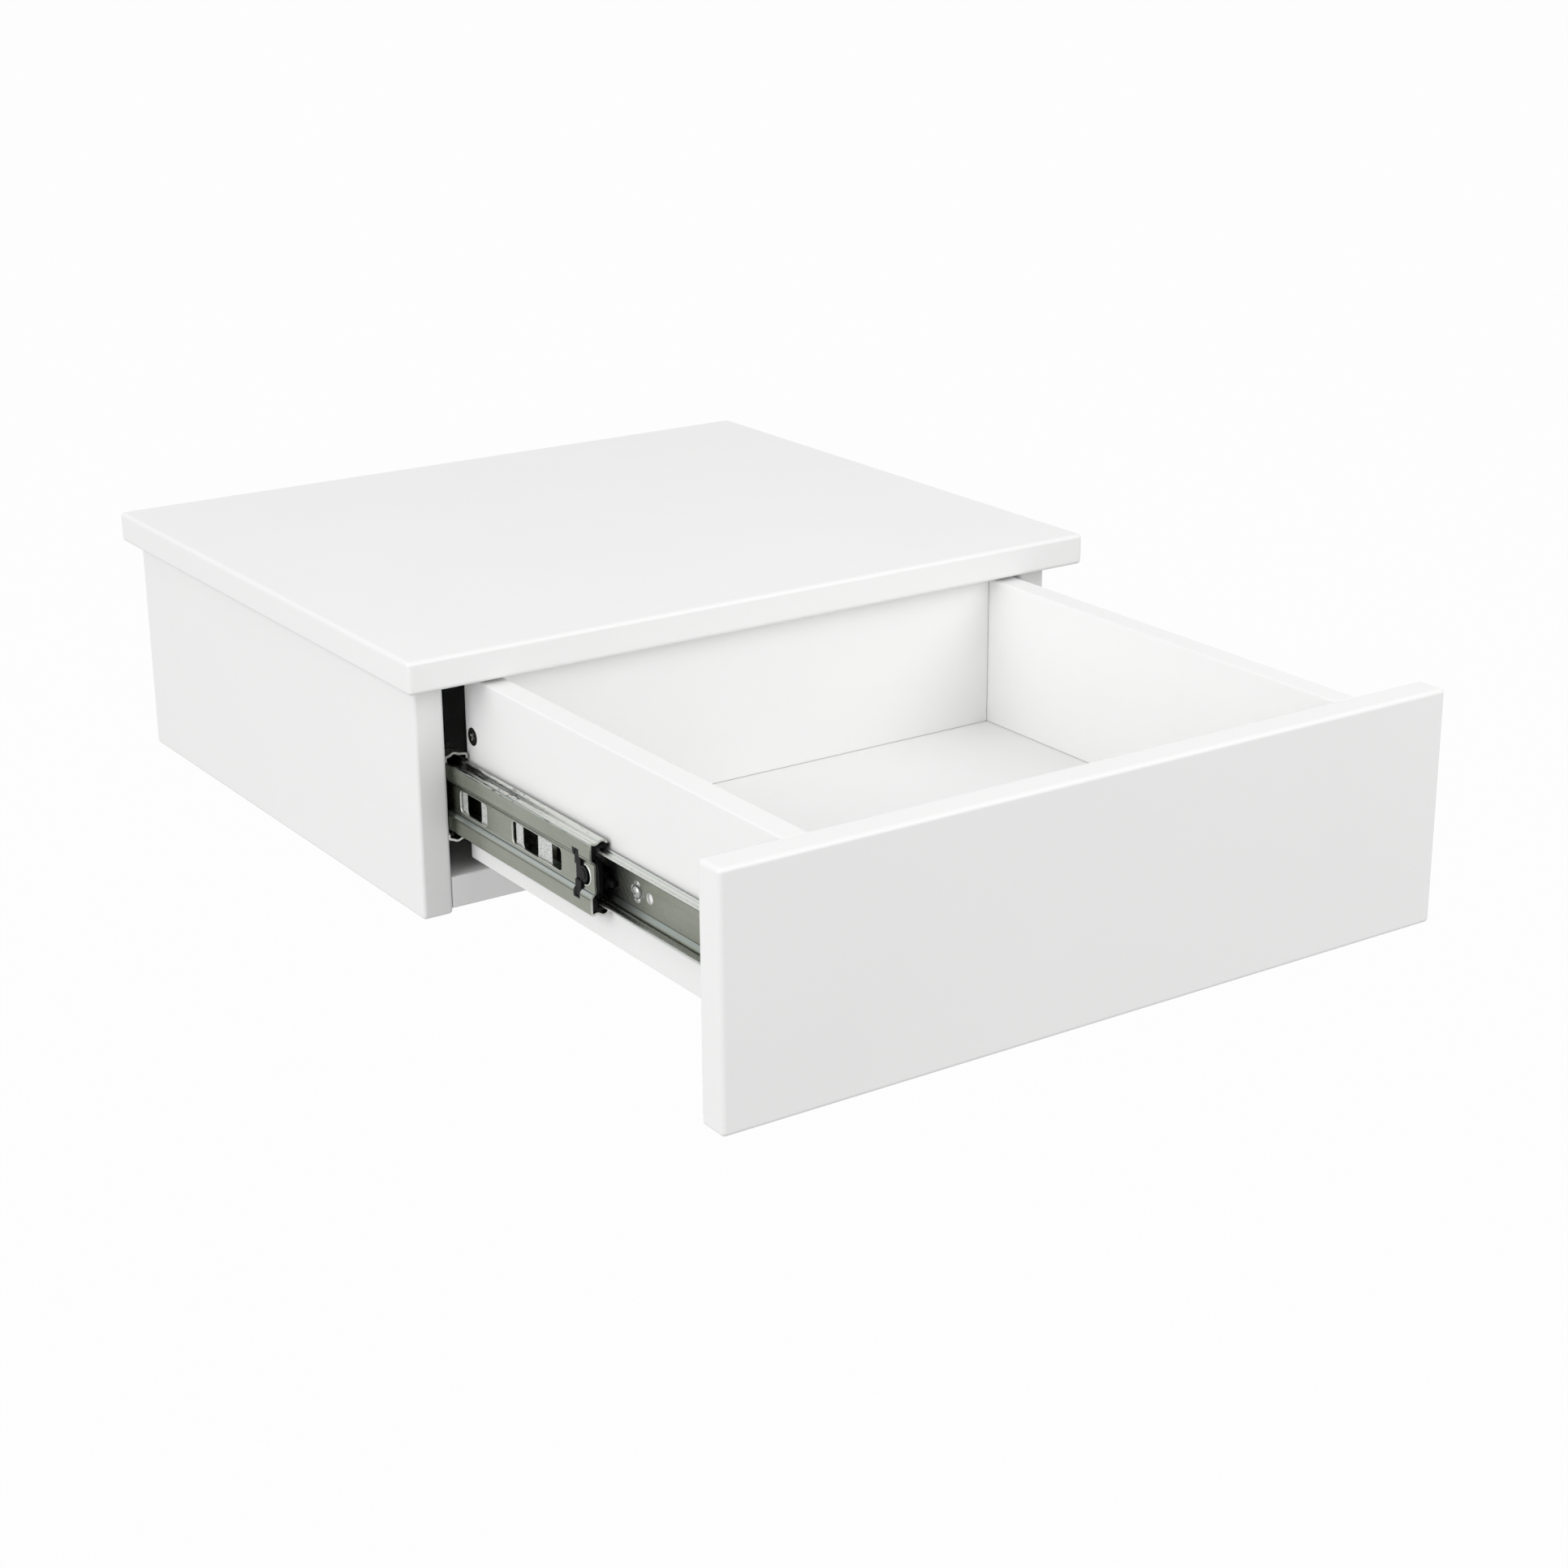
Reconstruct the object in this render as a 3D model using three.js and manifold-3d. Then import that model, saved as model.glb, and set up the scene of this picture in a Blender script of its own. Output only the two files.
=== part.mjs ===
// A floating nightstand: a white lacquered cabinet that hangs on the wall, with one drawer
// that runs on a pair of full-extension ball-bearing slides. The drawer stands open.
// Lengths are in millimetres. X runs to the right, Y into the wall and Z up, and the
// origin is the centre of the face that lies on the wall.

import * as THREE from 'three';
import { mergeVertices } from 'three/addons/utils/BufferGeometryUtils.js';
import Module from 'manifold-3d';

const wasm = await Module();
wasm.setup();

// The cabinet
const overallWidth = 370;
const overallDepth = 320;
const overallHeight = 126;
const topThickness = 15;
const sideThickness = 15;
const bottomThickness = 15;
const backThickness = 15;
const topReveal = 10; // top panel past each side panel
const bottomRise = 2.5; // bottom panel above the lower ends of the side panels
const boardRound = 2; // rounding of the lacquered edges
const seatGap = 0.1; // between pieces that bear on each other

// The drawer
const drawerOpen = 243; // how far the drawer stands out in its rest place
const frontThickness = 15;
const frontRise = 2; // drawer front above the lower ends of the side panels
const frontHeadroom = 1.3; // drawer front under the top panel
const closingGap = 2; // drawer front to the side panels, drawer shut
const drawerHeadroom = 2; // drawer sides under the top panel
const drawerFootroom = 5.2; // drawer sides above the bottom panel
const drawerSideThickness = 12;
const drawerBackThickness = 12;
const drawerRound = 1.2;
const floorThickness = 3;
const floorRise = 10.5; // drawer floor above the lower edges of the drawer sides
const grooveDepth = 5;
const groovePlay = 0.2;

// The slides
const slideRearRoom = 36; // slides before the back panel, which makes them 250 long
const slideHeight = 42;
const slideThickness = 12.7;
const slideDrop = 9; // centre line of the slides under the middle of the cabinet
const slideSetback = 2; // slides behind the front edges of the side panels
const sheet = 1; // steel of the members
const cageSheet = 0.5; // steel of the ball cages
const cageGap = 0.25; // cage to the member on each side of it
const ballRadius = 2;
const ballPlay = 0.15;

// What the sizes above give
const topHalfWidth = overallWidth / 2;
const cabinetHalfWidth = topHalfWidth - topReveal;
const insideHalfWidth = cabinetHalfWidth - sideThickness;
const topZ = overallHeight / 2;
const undersideZ = topZ - topThickness;
const cabinetLowZ = -overallHeight / 2;
const bottomLowZ = cabinetLowZ + bottomRise;
const bottomHighZ = bottomLowZ + bottomThickness;
const frontBackY = frontThickness - overallDepth; // back face of the drawer front, drawer shut
const sideFrontY = frontBackY + closingGap;
const slideFrontY = sideFrontY + slideSetback;
const slideLength = -backThickness - slideRearRoom - slideFrontY; // and the drawer sides'
const drawerHalfWidth = insideHalfWidth - slideThickness;
const drawerInsideHalf = drawerHalfWidth - drawerSideThickness;
const drawerRearY = frontBackY + slideLength;
const drawerBackY = drawerRearY - drawerBackThickness; // inner face of the drawer back
const drawerHighZ = undersideZ - drawerHeadroom;
const drawerLowZ = bottomHighZ + drawerFootroom;
const floorZ = drawerLowZ + floorRise;
const slideZ = -slideDrop;
const overrun = topThickness; // how far a cutter runs on past the face it opens

// Finishes
const lacquer = () => new THREE.MeshStandardMaterial({ color: 0xf1f1f0, roughness: 0.38, metalness: 0 });
const foil = () => new THREE.MeshStandardMaterial({ color: 0xf4f4f3, roughness: 0.5, metalness: 0 });
const zincSteel = () => new THREE.MeshStandardMaterial({ color: 0x9a9f94, roughness: 0.35, metalness: 0.9 });
const cageSteel = () => new THREE.MeshStandardMaterial({ color: 0xb9bcbb, roughness: 0.45, metalness: 0.85 });
const blackPlastic = () => new THREE.MeshStandardMaterial({ color: 0x161617, roughness: 0.45, metalness: 0 });
const nickel = () => new THREE.MeshStandardMaterial({ color: 0x6d6a67, roughness: 0.3, metalness: 0.9 });
const diecastZinc = () => new THREE.MeshStandardMaterial({ color: 0xa6a6a2, roughness: 0.5, metalness: 0.8 });
const beech = () => new THREE.MeshStandardMaterial({ color: 0xc9a77a, roughness: 0.8, metalness: 0 });

const round = Math.PI * 2;
const quarterTurn = Math.PI / 2;

// Solids and how they are cut

function solidOf(geometry) {
  const bare = geometry.clone();
  bare.deleteAttribute('normal');
  bare.deleteAttribute('uv');
  const merged = mergeVertices(bare);
  const corners = merged.index.array;
  const triangles = [];
  for (let i = 0; i < corners.length; i += 3) {
    const [a, b, c] = [corners[i], corners[i + 1], corners[i + 2]];
    if (a !== b && b !== c && c !== a) {
      triangles.push(a, b, c);
    }
  }
  return new wasm.Manifold(new wasm.Mesh({
    numProp: 3,
    vertProperties: new Float32Array(merged.attributes.position.array),
    triVerts: new Uint32Array(triangles),
  }));
}

function geometryOf(solid) {
  const mesh = solid.getMesh();
  const geometry = new THREE.BufferGeometry();
  geometry.setAttribute('position', new THREE.BufferAttribute(mesh.vertProperties, mesh.numProp));
  geometry.setIndex(new THREE.BufferAttribute(mesh.triVerts, 1));
  geometry.computeVertexNormals();
  return geometry;
}

function cutBy(geometry, cutters) {
  return geometryOf(cutters.reduce((solid, cutter) => solid.subtract(solidOf(cutter)), solidOf(geometry)));
}

function joined(geometries) {
  return geometryOf(geometries.map(solidOf).reduce((solid, next) => solid.add(next)));
}

// The same geometry on the other side of the cabinet's middle plane
function mirrored(geometry) {
  const copy = mergeVertices(geometry.clone().deleteAttribute('normal').deleteAttribute('uv'));
  copy.scale(-1, 1, 1);
  const corners = copy.index.array;
  for (let i = 0; i < corners.length; i += 3) {
    [corners[i + 1], corners[i + 2]] = [corners[i + 2], corners[i + 1]];
  }
  copy.computeVertexNormals();
  return copy;
}

const onSide = (side, geometry) => (side > 0 ? geometry : mirrored(geometry));

// Draws the piece round its own middle and places it by its position
function piece(name, geometry, material) {
  geometry.computeBoundingBox();
  const middle = geometry.boundingBox.getCenter(new THREE.Vector3());
  const centred = geometry.clone().translate(-middle.x, -middle.y, -middle.z);
  centred.computeVertexNormals();
  const mesh = new THREE.Mesh(centred, material);
  mesh.name = name;
  mesh.position.copy(middle);
  return mesh;
}

function block(low, high) {
  const size = high.map((value, axis) => value - low[axis]);
  const middle = high.map((value, axis) => (value + low[axis]) / 2);
  return new THREE.BoxGeometry(...size).translate(...middle);
}

// A board with all its edges rounded
const cornerSteps = 2;
const cornerShare = 1.25; // corner radius of a board's outline, as a share of its edge rounding
function board(low, high, radius) {
  const [width, depth, height] = high.map((value, axis) => value - low[axis]);
  const corner = radius * cornerShare;
  const outline = new THREE.Shape();
  outline.absarc(width - corner, depth - corner, corner, 0, quarterTurn);
  outline.absarc(corner, depth - corner, corner, quarterTurn, 2 * quarterTurn);
  outline.absarc(corner, corner, corner, 2 * quarterTurn, 3 * quarterTurn);
  outline.absarc(width - corner, corner, corner, 3 * quarterTurn, round);
  outline.closePath();
  const geometry = new THREE.ExtrudeGeometry(outline, {
    depth: height - 2 * radius,
    bevelThickness: radius,
    bevelSize: radius,
    bevelOffset: -radius,
    bevelSegments: cornerSteps,
    curveSegments: cornerSteps,
  });
  return geometry.translate(low[0], low[1], low[2] + radius);
}

// A turned piece on the local Z axis, from [radius, height] points that start and end on it
const turnedSides = 10;
const hiddenSides = 8;
function turned(profile, sides = turnedSides) {
  const points = profile.map(([radius, height]) => new THREE.Vector2(radius, height));
  return new THREE.LatheGeometry(points, sides).rotateX(quarterTurn);
}

function rod(radius, lowZ, highZ, sides = turnedSides) {
  return turned([[0, lowZ], [radius, lowZ], [radius, highZ], [0, highZ]], sides);
}

// A place whose local Z runs along one direction and whose local X runs along another
function placeAt(origin, alongZ, alongX) {
  const z = new THREE.Vector3(...alongZ);
  const x = new THREE.Vector3(...alongX);
  const y = new THREE.Vector3().crossVectors(z, x);
  return new THREE.Matrix4().makeBasis(x, y, z).setPosition(...origin);
}

const at = (place, geometry) => geometry.clone().applyMatrix4(place);

function placed(mesh, place) {
  const group = new THREE.Group();
  group.applyMatrix4(place);
  group.add(mesh);
  return group;
}

// Cam fittings. A bolt is screwed into the face of one board and its head is drawn by a cam
// in the end of the other. Local Z runs from the joint into that end, local X to the cam's face.
const cabinetCam = { radius: 7.4, depth: 12, reach: 24, boltRadius: 3, grip: 11, inset: 50 };
const drawerCam = { radius: 5.9, depth: 9.2, reach: 20, boltRadius: 2.4, grip: 10, rise: 29 };
const threadShare = 0.8; // of the bolt's radius
const neckShare = 0.6;
const camPlay = 0.3;
const camSink = 0.3; // cam under the face that it is let into
const crossWidth = 1.1; // arms of a cross recess
const crossDepth = 1.5;

function crossRecess(reach, faceZ) {
  const half = crossWidth / 2;
  const floor = faceZ - crossDepth;
  const past = faceZ + overrun;
  return [
    block([-reach, -half, floor], [reach, half, past]),
    block([-half, -reach, floor], [half, reach, past]),
  ];
}

function camGeometry(fitting, thickness) {
  const faceZ = thickness / 2 - camSink;
  const headRoom = fitting.boltRadius + camPlay;
  const disc = rod(fitting.radius, faceZ - fitting.depth, faceZ);
  const slot = block([-fitting.radius - overrun, -headRoom, -headRoom], [headRoom, headRoom, headRoom]);
  const recess = crossRecess(fitting.radius / 2, faceZ);
  return cutBy(disc, [slot, ...recess]);
}

// The cam's own axis runs along the fitting's local X
const camPlace = (fitting, place) =>
  place.clone().multiply(placeAt([0, 0, fitting.reach], [1, 0, 0], [0, 0, 1]));

function boltGeometry(fitting) {
  const thread = fitting.boltRadius * threadShare;
  const neck = fitting.boltRadius * neckShare;
  const neckEnd = fitting.reach - fitting.boltRadius / 2;
  const neckStart = neckEnd - fitting.boltRadius;
  const headEnd = fitting.reach + fitting.boltRadius / 2;
  return turned([
    [0, -fitting.grip],
    [thread, thread - fitting.grip],
    [thread, 0],
    [fitting.boltRadius, 0],
    [fitting.boltRadius, neckStart],
    [neck, neckStart],
    [neck, neckEnd],
    [fitting.boltRadius, neckEnd],
    [fitting.boltRadius, headEnd],
    [0, headEnd],
  ], hiddenSides);
}

function gripBore(fitting, place) {
  const radius = fitting.boltRadius * threadShare + camPlay;
  return at(place, rod(radius, -fitting.grip - camPlay, overrun, hiddenSides));
}

function camBores(fitting, place, thickness) {
  const floorX = thickness / 2 - camSink - fitting.depth - camPlay;
  return [
    at(place, rod(fitting.boltRadius + camPlay, -overrun, fitting.reach, hiddenSides)),
    at(camPlace(fitting, place), rod(fitting.radius + camPlay, floorX, thickness)),
  ];
}

function addFitting(group, name, fitting, place, thickness) {
  const cam = piece(`${name}_cam`, camGeometry(fitting, thickness), diecastZinc());
  const bolt = piece(`${name}_cam_bolt`, boltGeometry(fitting), nickel());
  group.add(placed(cam, camPlace(fitting, place)), placed(bolt, place));
}

// Dowels, half in each board
const dowelRadius = 4;
const dowelLength = 30;
const dowelGrip = 10; // depth in the face of the side panel
const dowelPlay = 0.2;
const dowelChamfer = 1;

function dowelGeometry() {
  const tip = dowelRadius - dowelChamfer;
  const inner = dowelLength - dowelGrip;
  return turned([
    [0, -dowelGrip],
    [tip, -dowelGrip],
    [dowelRadius, dowelChamfer - dowelGrip],
    [dowelRadius, inner - dowelChamfer],
    [tip, inner],
    [0, inner],
  ], hiddenSides);
}

function dowelBore(place) {
  const inner = dowelLength - dowelGrip + dowelPlay;
  return at(place, rod(dowelRadius + dowelPlay, -dowelGrip - dowelPlay, inner, hiddenSides));
}

// Wood screws. Local Z points out of the board, with the flat of the head at zero.
const boxScrew = { head: 4.2, headDepth: 2.6, shank: 1.75, length: 35 };
const memberScrew = { head: 3.5, headDepth: 2, shank: 1.6, length: 13 };
const panHead = { head: 3, rise: 1.9, shank: 1.6, length: 10.5 };
const screwPlay = 0.3;
const sunkCrossShare = 0.65; // reach of the cross, of the head's radius
const panCrossShare = 0.6;
const panCrownShare = 0.7; // where the crown of a pan head starts to turn down
const panCrownRiseShare = 0.9;
const rimDepth = 0.4; // cylindrical edge of a countersunk head

function sunkProfile(screw, play) {
  return [
    [0, 0],
    [screw.head + play, 0],
    [screw.head + play, -rimDepth],
    [screw.shank + play, -screw.headDepth - play],
    [screw.shank + play, screw.shank - screw.length],
    [0, -screw.length - play],
  ].reverse();
}

const sunkScrew = (screw) => cutBy(turned(sunkProfile(screw, 0)), crossRecess(screw.head * sunkCrossShare, 0));

function sunkBore(screw) {
  const mouth = rod(screw.head + screwPlay, -rimDepth / 2, overrun);
  return joined([turned(sunkProfile(screw, screwPlay)), mouth]);
}

function panScrew() {
  const edge = panHead.rise / 3;
  const body = turned([
    [0, -panHead.length],
    [panHead.shank, panHead.shank - panHead.length],
    [panHead.shank, 0],
    [panHead.head, 0],
    [panHead.head, edge],
    [panHead.head * panCrownShare, panHead.rise * panCrownRiseShare],
    [0, panHead.rise],
  ]);
  return cutBy(body, crossRecess(panHead.head * panCrossShare, panHead.rise));
}

const panBore = () => rod(panHead.shank + screwPlay, -panHead.length - screwPlay, overrun);

// Where the fittings, dowels and screws sit; side is -1 on the left and 1 on the right
const sides = [[-1, 'left'], [1, 'right']];

const topCamPlaces = (side) => [
  ['front', sideFrontY + cabinetCam.inset],
  ['rear', -cabinetCam.inset],
].map(([end, y]) => [
  end,
  placeAt([side * (cabinetHalfWidth - sideThickness / 2), y, undersideZ], [0, 0, -1], [-side, 0, 0]),
]);

const bottomDowelInset = 60;
const bottomDowelPlaces = (side) => [
  ['front', sideFrontY + bottomDowelInset],
  ['rear', -bottomDowelInset],
].map(([end, y]) => [
  end,
  placeAt([side * insideHalfWidth, y, (bottomLowZ + bottomHighZ) / 2], [-side, 0, 0], [0, 0, 1]),
]);

const backDowelInset = 22;
const backDowelPlaces = (side) => [
  ['upper', undersideZ - backDowelInset],
  ['lower', bottomHighZ + backDowelInset],
].map(([end, z]) => [
  end,
  placeAt([side * insideHalfWidth, -backThickness / 2, z], [-side, 0, 0], [0, 0, 1]),
]);

const drawerFrontPlace = (side) => placeAt(
  [side * (drawerHalfWidth - drawerSideThickness / 2), frontBackY, slideZ + drawerCam.rise],
  [0, 1, 0],
  [-side, 0, 0],
);

const boxScrewDrop = 27.5; // upper screw under the top edge of the drawer side
const boxScrewPitch = 32;
const boxScrewPlaces = (side) => [
  ['upper', drawerHighZ - boxScrewDrop],
  ['lower', drawerHighZ - boxScrewDrop - boxScrewPitch],
].map(([end, z]) => [
  end,
  placeAt([side * drawerHalfWidth, drawerRearY - drawerBackThickness / 2, z], [side, 0, 0], [0, 0, 1]),
]);

const memberScrewInset = 37;
const memberScrewPlaces = (side) => [
  ['front', slideFrontY + memberScrewInset],
  ['rear', slideFrontY + slideLength - memberScrewInset],
].map(([end, y]) => [
  end,
  placeAt([side * (insideHalfWidth - sheet), y, slideZ], [-side, 0, 0], [0, 0, 1]),
]);

const panScrewSetback = 26;
const panScrewMiddle = 104;
const panScrewInset = 36; // last screw before the rear end
const panScrewSetbacks = [
  ['front', panScrewSetback],
  ['middle', panScrewMiddle],
  ['rear', slideLength - panScrewInset],
];
const panScrewPlaces = (side) => panScrewSetbacks.map(([end, setback]) => [
  end,
  placeAt(
    [side * (drawerHalfWidth + sheet + seatGap), frontBackY + setback, slideZ],
    [side, 0, 0],
    [0, 0, 1],
  ),
]);

// The boards of the cabinet

function topPanel() {
  const panel = board([-topHalfWidth, -overallDepth, undersideZ], [topHalfWidth, 0, topZ], boardRound);
  const bores = sides.flatMap(([side]) => topCamPlaces(side).map(([, place]) => gripBore(cabinetCam, place)));
  return piece('top_panel', cutBy(panel, bores), lacquer());
}

function sidePanel(side, label) {
  const panel = board(
    [insideHalfWidth, sideFrontY, cabinetLowZ],
    [cabinetHalfWidth, 0, undersideZ - seatGap],
    boardRound,
  );
  const cutters = [
    ...topCamPlaces(side).flatMap(([, place]) => camBores(cabinetCam, place, sideThickness)),
    ...bottomDowelPlaces(side).map(([, place]) => dowelBore(place)),
    ...backDowelPlaces(side).map(([, place]) => dowelBore(place)),
    ...memberScrewPlaces(side).map(([, place]) => at(place, sunkBore(memberScrew))),
  ];
  return piece(`${label}_side_panel`, cutBy(onSide(side, panel), cutters), lacquer());
}

function bottomPanel() {
  const half = insideHalfWidth - seatGap;
  const panel = board([-half, sideFrontY, bottomLowZ], [half, 0, bottomHighZ], boardRound);
  const bores = sides.flatMap(([side]) => bottomDowelPlaces(side).map(([, place]) => dowelBore(place)));
  return piece('bottom_panel', cutBy(panel, bores), lacquer());
}

// The back panel carries the cabinet on two wall screws
const wallHolePitch = 200;
const wallHoleRadius = 2.75;
const wallHoleDrop = 30; // under the top panel
const wallSinkRadius = 5.5;

function backPanel() {
  const half = insideHalfWidth - seatGap;
  const panel = board(
    [-half, -backThickness, bottomHighZ + seatGap],
    [half, 0, undersideZ - seatGap],
    drawerRound,
  );
  const sinkDepth = wallSinkRadius - wallHoleRadius;
  const hole = turned([
    [0, overrun],
    [wallSinkRadius, overrun],
    [wallSinkRadius, 0],
    [wallHoleRadius, -sinkDepth],
    [wallHoleRadius, -backThickness - overrun],
    [0, -backThickness - overrun],
  ].reverse());
  const holes = sides.map(([side]) => at(
    placeAt([side * wallHolePitch / 2, -backThickness, undersideZ - wallHoleDrop], [0, -1, 0], [1, 0, 0]),
    hole,
  ));
  const bores = sides.flatMap(([side]) => backDowelPlaces(side).map(([, place]) => dowelBore(place)));
  return piece('back_panel', cutBy(panel, [...holes, ...bores]), foil());
}

// The boards of the drawer, drawn shut. The floor sits in grooves in the other four.

const floorHalf = drawerInsideHalf + grooveDepth - groovePlay;
const floorFrontY = frontBackY - grooveDepth + groovePlay;
const floorRearY = drawerBackY + grooveDepth - groovePlay;

const floorGroove = () => block(
  [-floorHalf - groovePlay, floorFrontY - groovePlay, floorZ - groovePlay],
  [floorHalf + groovePlay, floorRearY + groovePlay, floorZ + floorThickness + groovePlay],
);

function drawerFront() {
  const front = board(
    [-topHalfWidth, -overallDepth, cabinetLowZ + frontRise],
    [topHalfWidth, frontBackY, undersideZ - frontHeadroom],
    boardRound,
  );
  const bores = sides.map(([side]) => gripBore(drawerCam, drawerFrontPlace(side)));
  return piece('drawer_front', cutBy(front, [...bores, floorGroove()]), lacquer());
}

function drawerSide(side, label) {
  const panel = board(
    [drawerInsideHalf, frontBackY + seatGap, drawerLowZ],
    [drawerHalfWidth, drawerRearY, drawerHighZ],
    drawerRound,
  );
  const groove = block(
    [-floorHalf - groovePlay, frontBackY - overrun, floorZ - groovePlay],
    [floorHalf + groovePlay, drawerRearY + overrun, floorZ + floorThickness + groovePlay],
  );
  const cutters = [
    groove,
    ...camBores(drawerCam, drawerFrontPlace(side), drawerSideThickness),
    ...boxScrewPlaces(side).map(([, place]) => at(place, sunkBore(boxScrew))),
    ...panScrewPlaces(side).map(([, place]) => at(place, panBore())),
  ];
  return piece(`drawer_${label}_side`, cutBy(onSide(side, panel), cutters), foil());
}

function drawerBack() {
  const half = drawerInsideHalf - seatGap;
  const panel = board([-half, drawerBackY, drawerLowZ], [half, drawerRearY, drawerHighZ], drawerRound);
  const places = sides.flatMap(([side]) => boxScrewPlaces(side));
  const bores = places.map(([, place]) => at(place, sunkBore(boxScrew)));
  return piece('drawer_back', cutBy(panel, [...bores, floorGroove()]), foil());
}

function drawerFloor() {
  const panel = block([-floorHalf, floorFrontY, floorZ], [floorHalf, floorRearY, floorZ + floorThickness]);
  return piece('drawer_floor', panel, foil());
}

// The sections of the slides. Each is drawn in (u, v): u runs from the side panel to the
// drawer, v up from the slide's centre line. Two rows of balls run above and two below it.

const outerRowU = 4.8;
const raceAngle = THREE.MathUtils.degToRad(40); // arc of a race each side of its middle
const raceSteps = 4;
const raceRadius = ballRadius + ballPlay + sheet / 2; // to the middle of the sheet
const raceReach = raceRadius * Math.sin(raceAngle);
const raceRise = raceRadius * Math.cos(raceAngle);
const outerRow = new THREE.Vector2(outerRowU, slideHeight / 2 - sheet - ballPlay - ballRadius);
const innerRow = new THREE.Vector2(outerRow.x + 2 * raceReach, outerRow.y - 2 * raceRise);
const bandU = sheet + 2 * cageGap + cageSheet; // outer face of the middle member
const recessDepth = 2; // web of the middle member, sunk between two bands
const recessHalfHeight = 6.3;
const joggle = 1.8; // height over which the web steps back out to a band
const bendRadius = 1;
const bendSteps = 2;
const shoulderRadius = 0.75; // of the middle member's bend beside its outer race
const lipLength = 1.3;
const lipInset = 1.7; // lip of the cabinet member from the drawer side
const mitreLimit = 0.5;

const uv = (u, v) => new THREE.Vector2(u, v);

function arc(centre, radius, start, end, steps) {
  const points = [];
  for (let step = 0; step <= steps; step += 1) {
    const angle = start + (end - start) * step / steps;
    points.push(uv(centre.x + radius * Math.cos(angle), centre.y + radius * Math.sin(angle)));
  }
  return points;
}

// A race's arc over its row, or under it
const raceOver = (row) => arc(row, raceRadius, quarterTurn + raceAngle, quarterTurn - raceAngle, raceSteps);
const raceUnder = (row) => arc(row, raceRadius, -quarterTurn - raceAngle, raceAngle - quarterTurn, raceSteps);

// The sheet's outline, from the middle line of its upper half
function sheetShape(upperHalf) {
  const lowerHalf = upperHalf.map((point) => new THREE.Vector2(point.x, -point.y)).reverse();
  const line = [...lowerHalf, ...upperHalf];
  const left = [];
  const right = [];
  line.forEach((point, index) => {
    const before = line[Math.max(index - 1, 0)];
    const after = line[Math.min(index + 1, line.length - 1)];
    const arriving = point.clone().sub(before).normalize();
    const leaving = after.clone().sub(point).normalize();
    const along = arriving.clone().add(leaving).normalize();
    const across = new THREE.Vector2(-along.y, along.x);
    const ahead = index === 0 ? leaving : arriving;
    const spread = sheet / 2 / Math.max(along.dot(ahead), mitreLimit);
    left.push(point.clone().addScaledVector(across, spread));
    right.push(point.clone().addScaledVector(across, -spread));
  });
  return new THREE.Shape([...right, ...left.reverse()]);
}

function cabinetMemberShape() {
  const bendU = seatGap + sheet / 2 + bendRadius;
  const lipBendU = slideThickness - lipInset - bendRadius;
  const bendV = outerRow.y + raceRise - sheet / 2 - bendRadius;
  return sheetShape([
    ...arc(uv(bendU, bendV), bendRadius, 2 * quarterTurn, quarterTurn, bendSteps),
    ...raceOver(outerRow),
    ...arc(uv(lipBendU, bendV), bendRadius, quarterTurn, 0, bendSteps),
    uv(lipBendU + bendRadius, bendV - lipLength),
  ]);
}

// The bend at the top of the band runs smoothly into the race under the outer balls
function middleMemberShape() {
  const bandLine = bandU + sheet / 2;
  const across = outerRow.x - bandLine - shoulderRadius;
  const reach = raceRadius + shoulderRadius;
  const lean = Math.asin(across / reach);
  const shoulder = uv(bandLine + shoulderRadius, outerRow.y - reach * Math.cos(lean));
  const outerRace = arc(outerRow, raceRadius, -quarterTurn - lean, raceAngle - quarterTurn, raceSteps);
  const innerRace = raceOver(innerRow);
  const lipStart = innerRace.at(-1);
  return sheetShape([
    uv(bandLine + recessDepth, recessHalfHeight),
    uv(bandLine, recessHalfHeight + joggle),
    ...arc(shoulder, shoulderRadius, 2 * quarterTurn, quarterTurn - lean, raceSteps),
    ...outerRace.slice(1),
    ...innerRace.slice(1),
    uv(lipStart.x + sheet / 2, lipStart.y - lipLength / 2),
    uv(lipStart.x + sheet / 2, lipStart.y - lipLength),
  ]);
}

// The web of the drawer member steps off the drawer side to a rim above and below, and each
// rim bends over smoothly into the race under the inner balls
const rimBendRadius = 0.6;
const rimBendSteps = 3;
const rimReach = raceRadius + rimBendRadius;
const rimBend = uv(innerRow.x + rimReach * Math.sin(raceAngle), innerRow.y - rimReach * Math.cos(raceAngle));
const drawerFlangeTop = rimBend.y + rimBendRadius + sheet / 2;
const drawerWebHalf = 7.2;
const rimStep = 2.6; // height over which the web steps out to a rim

function drawerMemberShape() {
  return sheetShape([
    uv(slideThickness - seatGap - sheet / 2, drawerWebHalf),
    uv(rimBend.x + rimBendRadius, drawerWebHalf + rimStep),
    ...arc(rimBend, rimBendRadius, 0, quarterTurn + raceAngle, rimBendSteps),
    ...raceUnder(innerRow).reverse().slice(1),
  ]);
}

// Stands a (u, v) shape on the right-hand slide, from rearY forward over its length
function alongSlide(shape, rearY, length) {
  const geometry = new THREE.ExtrudeGeometry(shape, { depth: length, bevelEnabled: false });
  geometry.rotateX(quarterTurn);
  const standing = mirrored(geometry);
  return standing.translate(insideHalfWidth, rearY, slideZ);
}

// A block on the right-hand slide: u, then distance behind the front end at frontY, then v
function slideBlock(frontY, low, high) {
  return block(
    [insideHalfWidth - high[0], frontY + low[1], slideZ + low[2]],
    [insideHalfWidth - low[0], frontY + high[1], slideZ + high[2]],
  );
}

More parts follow.
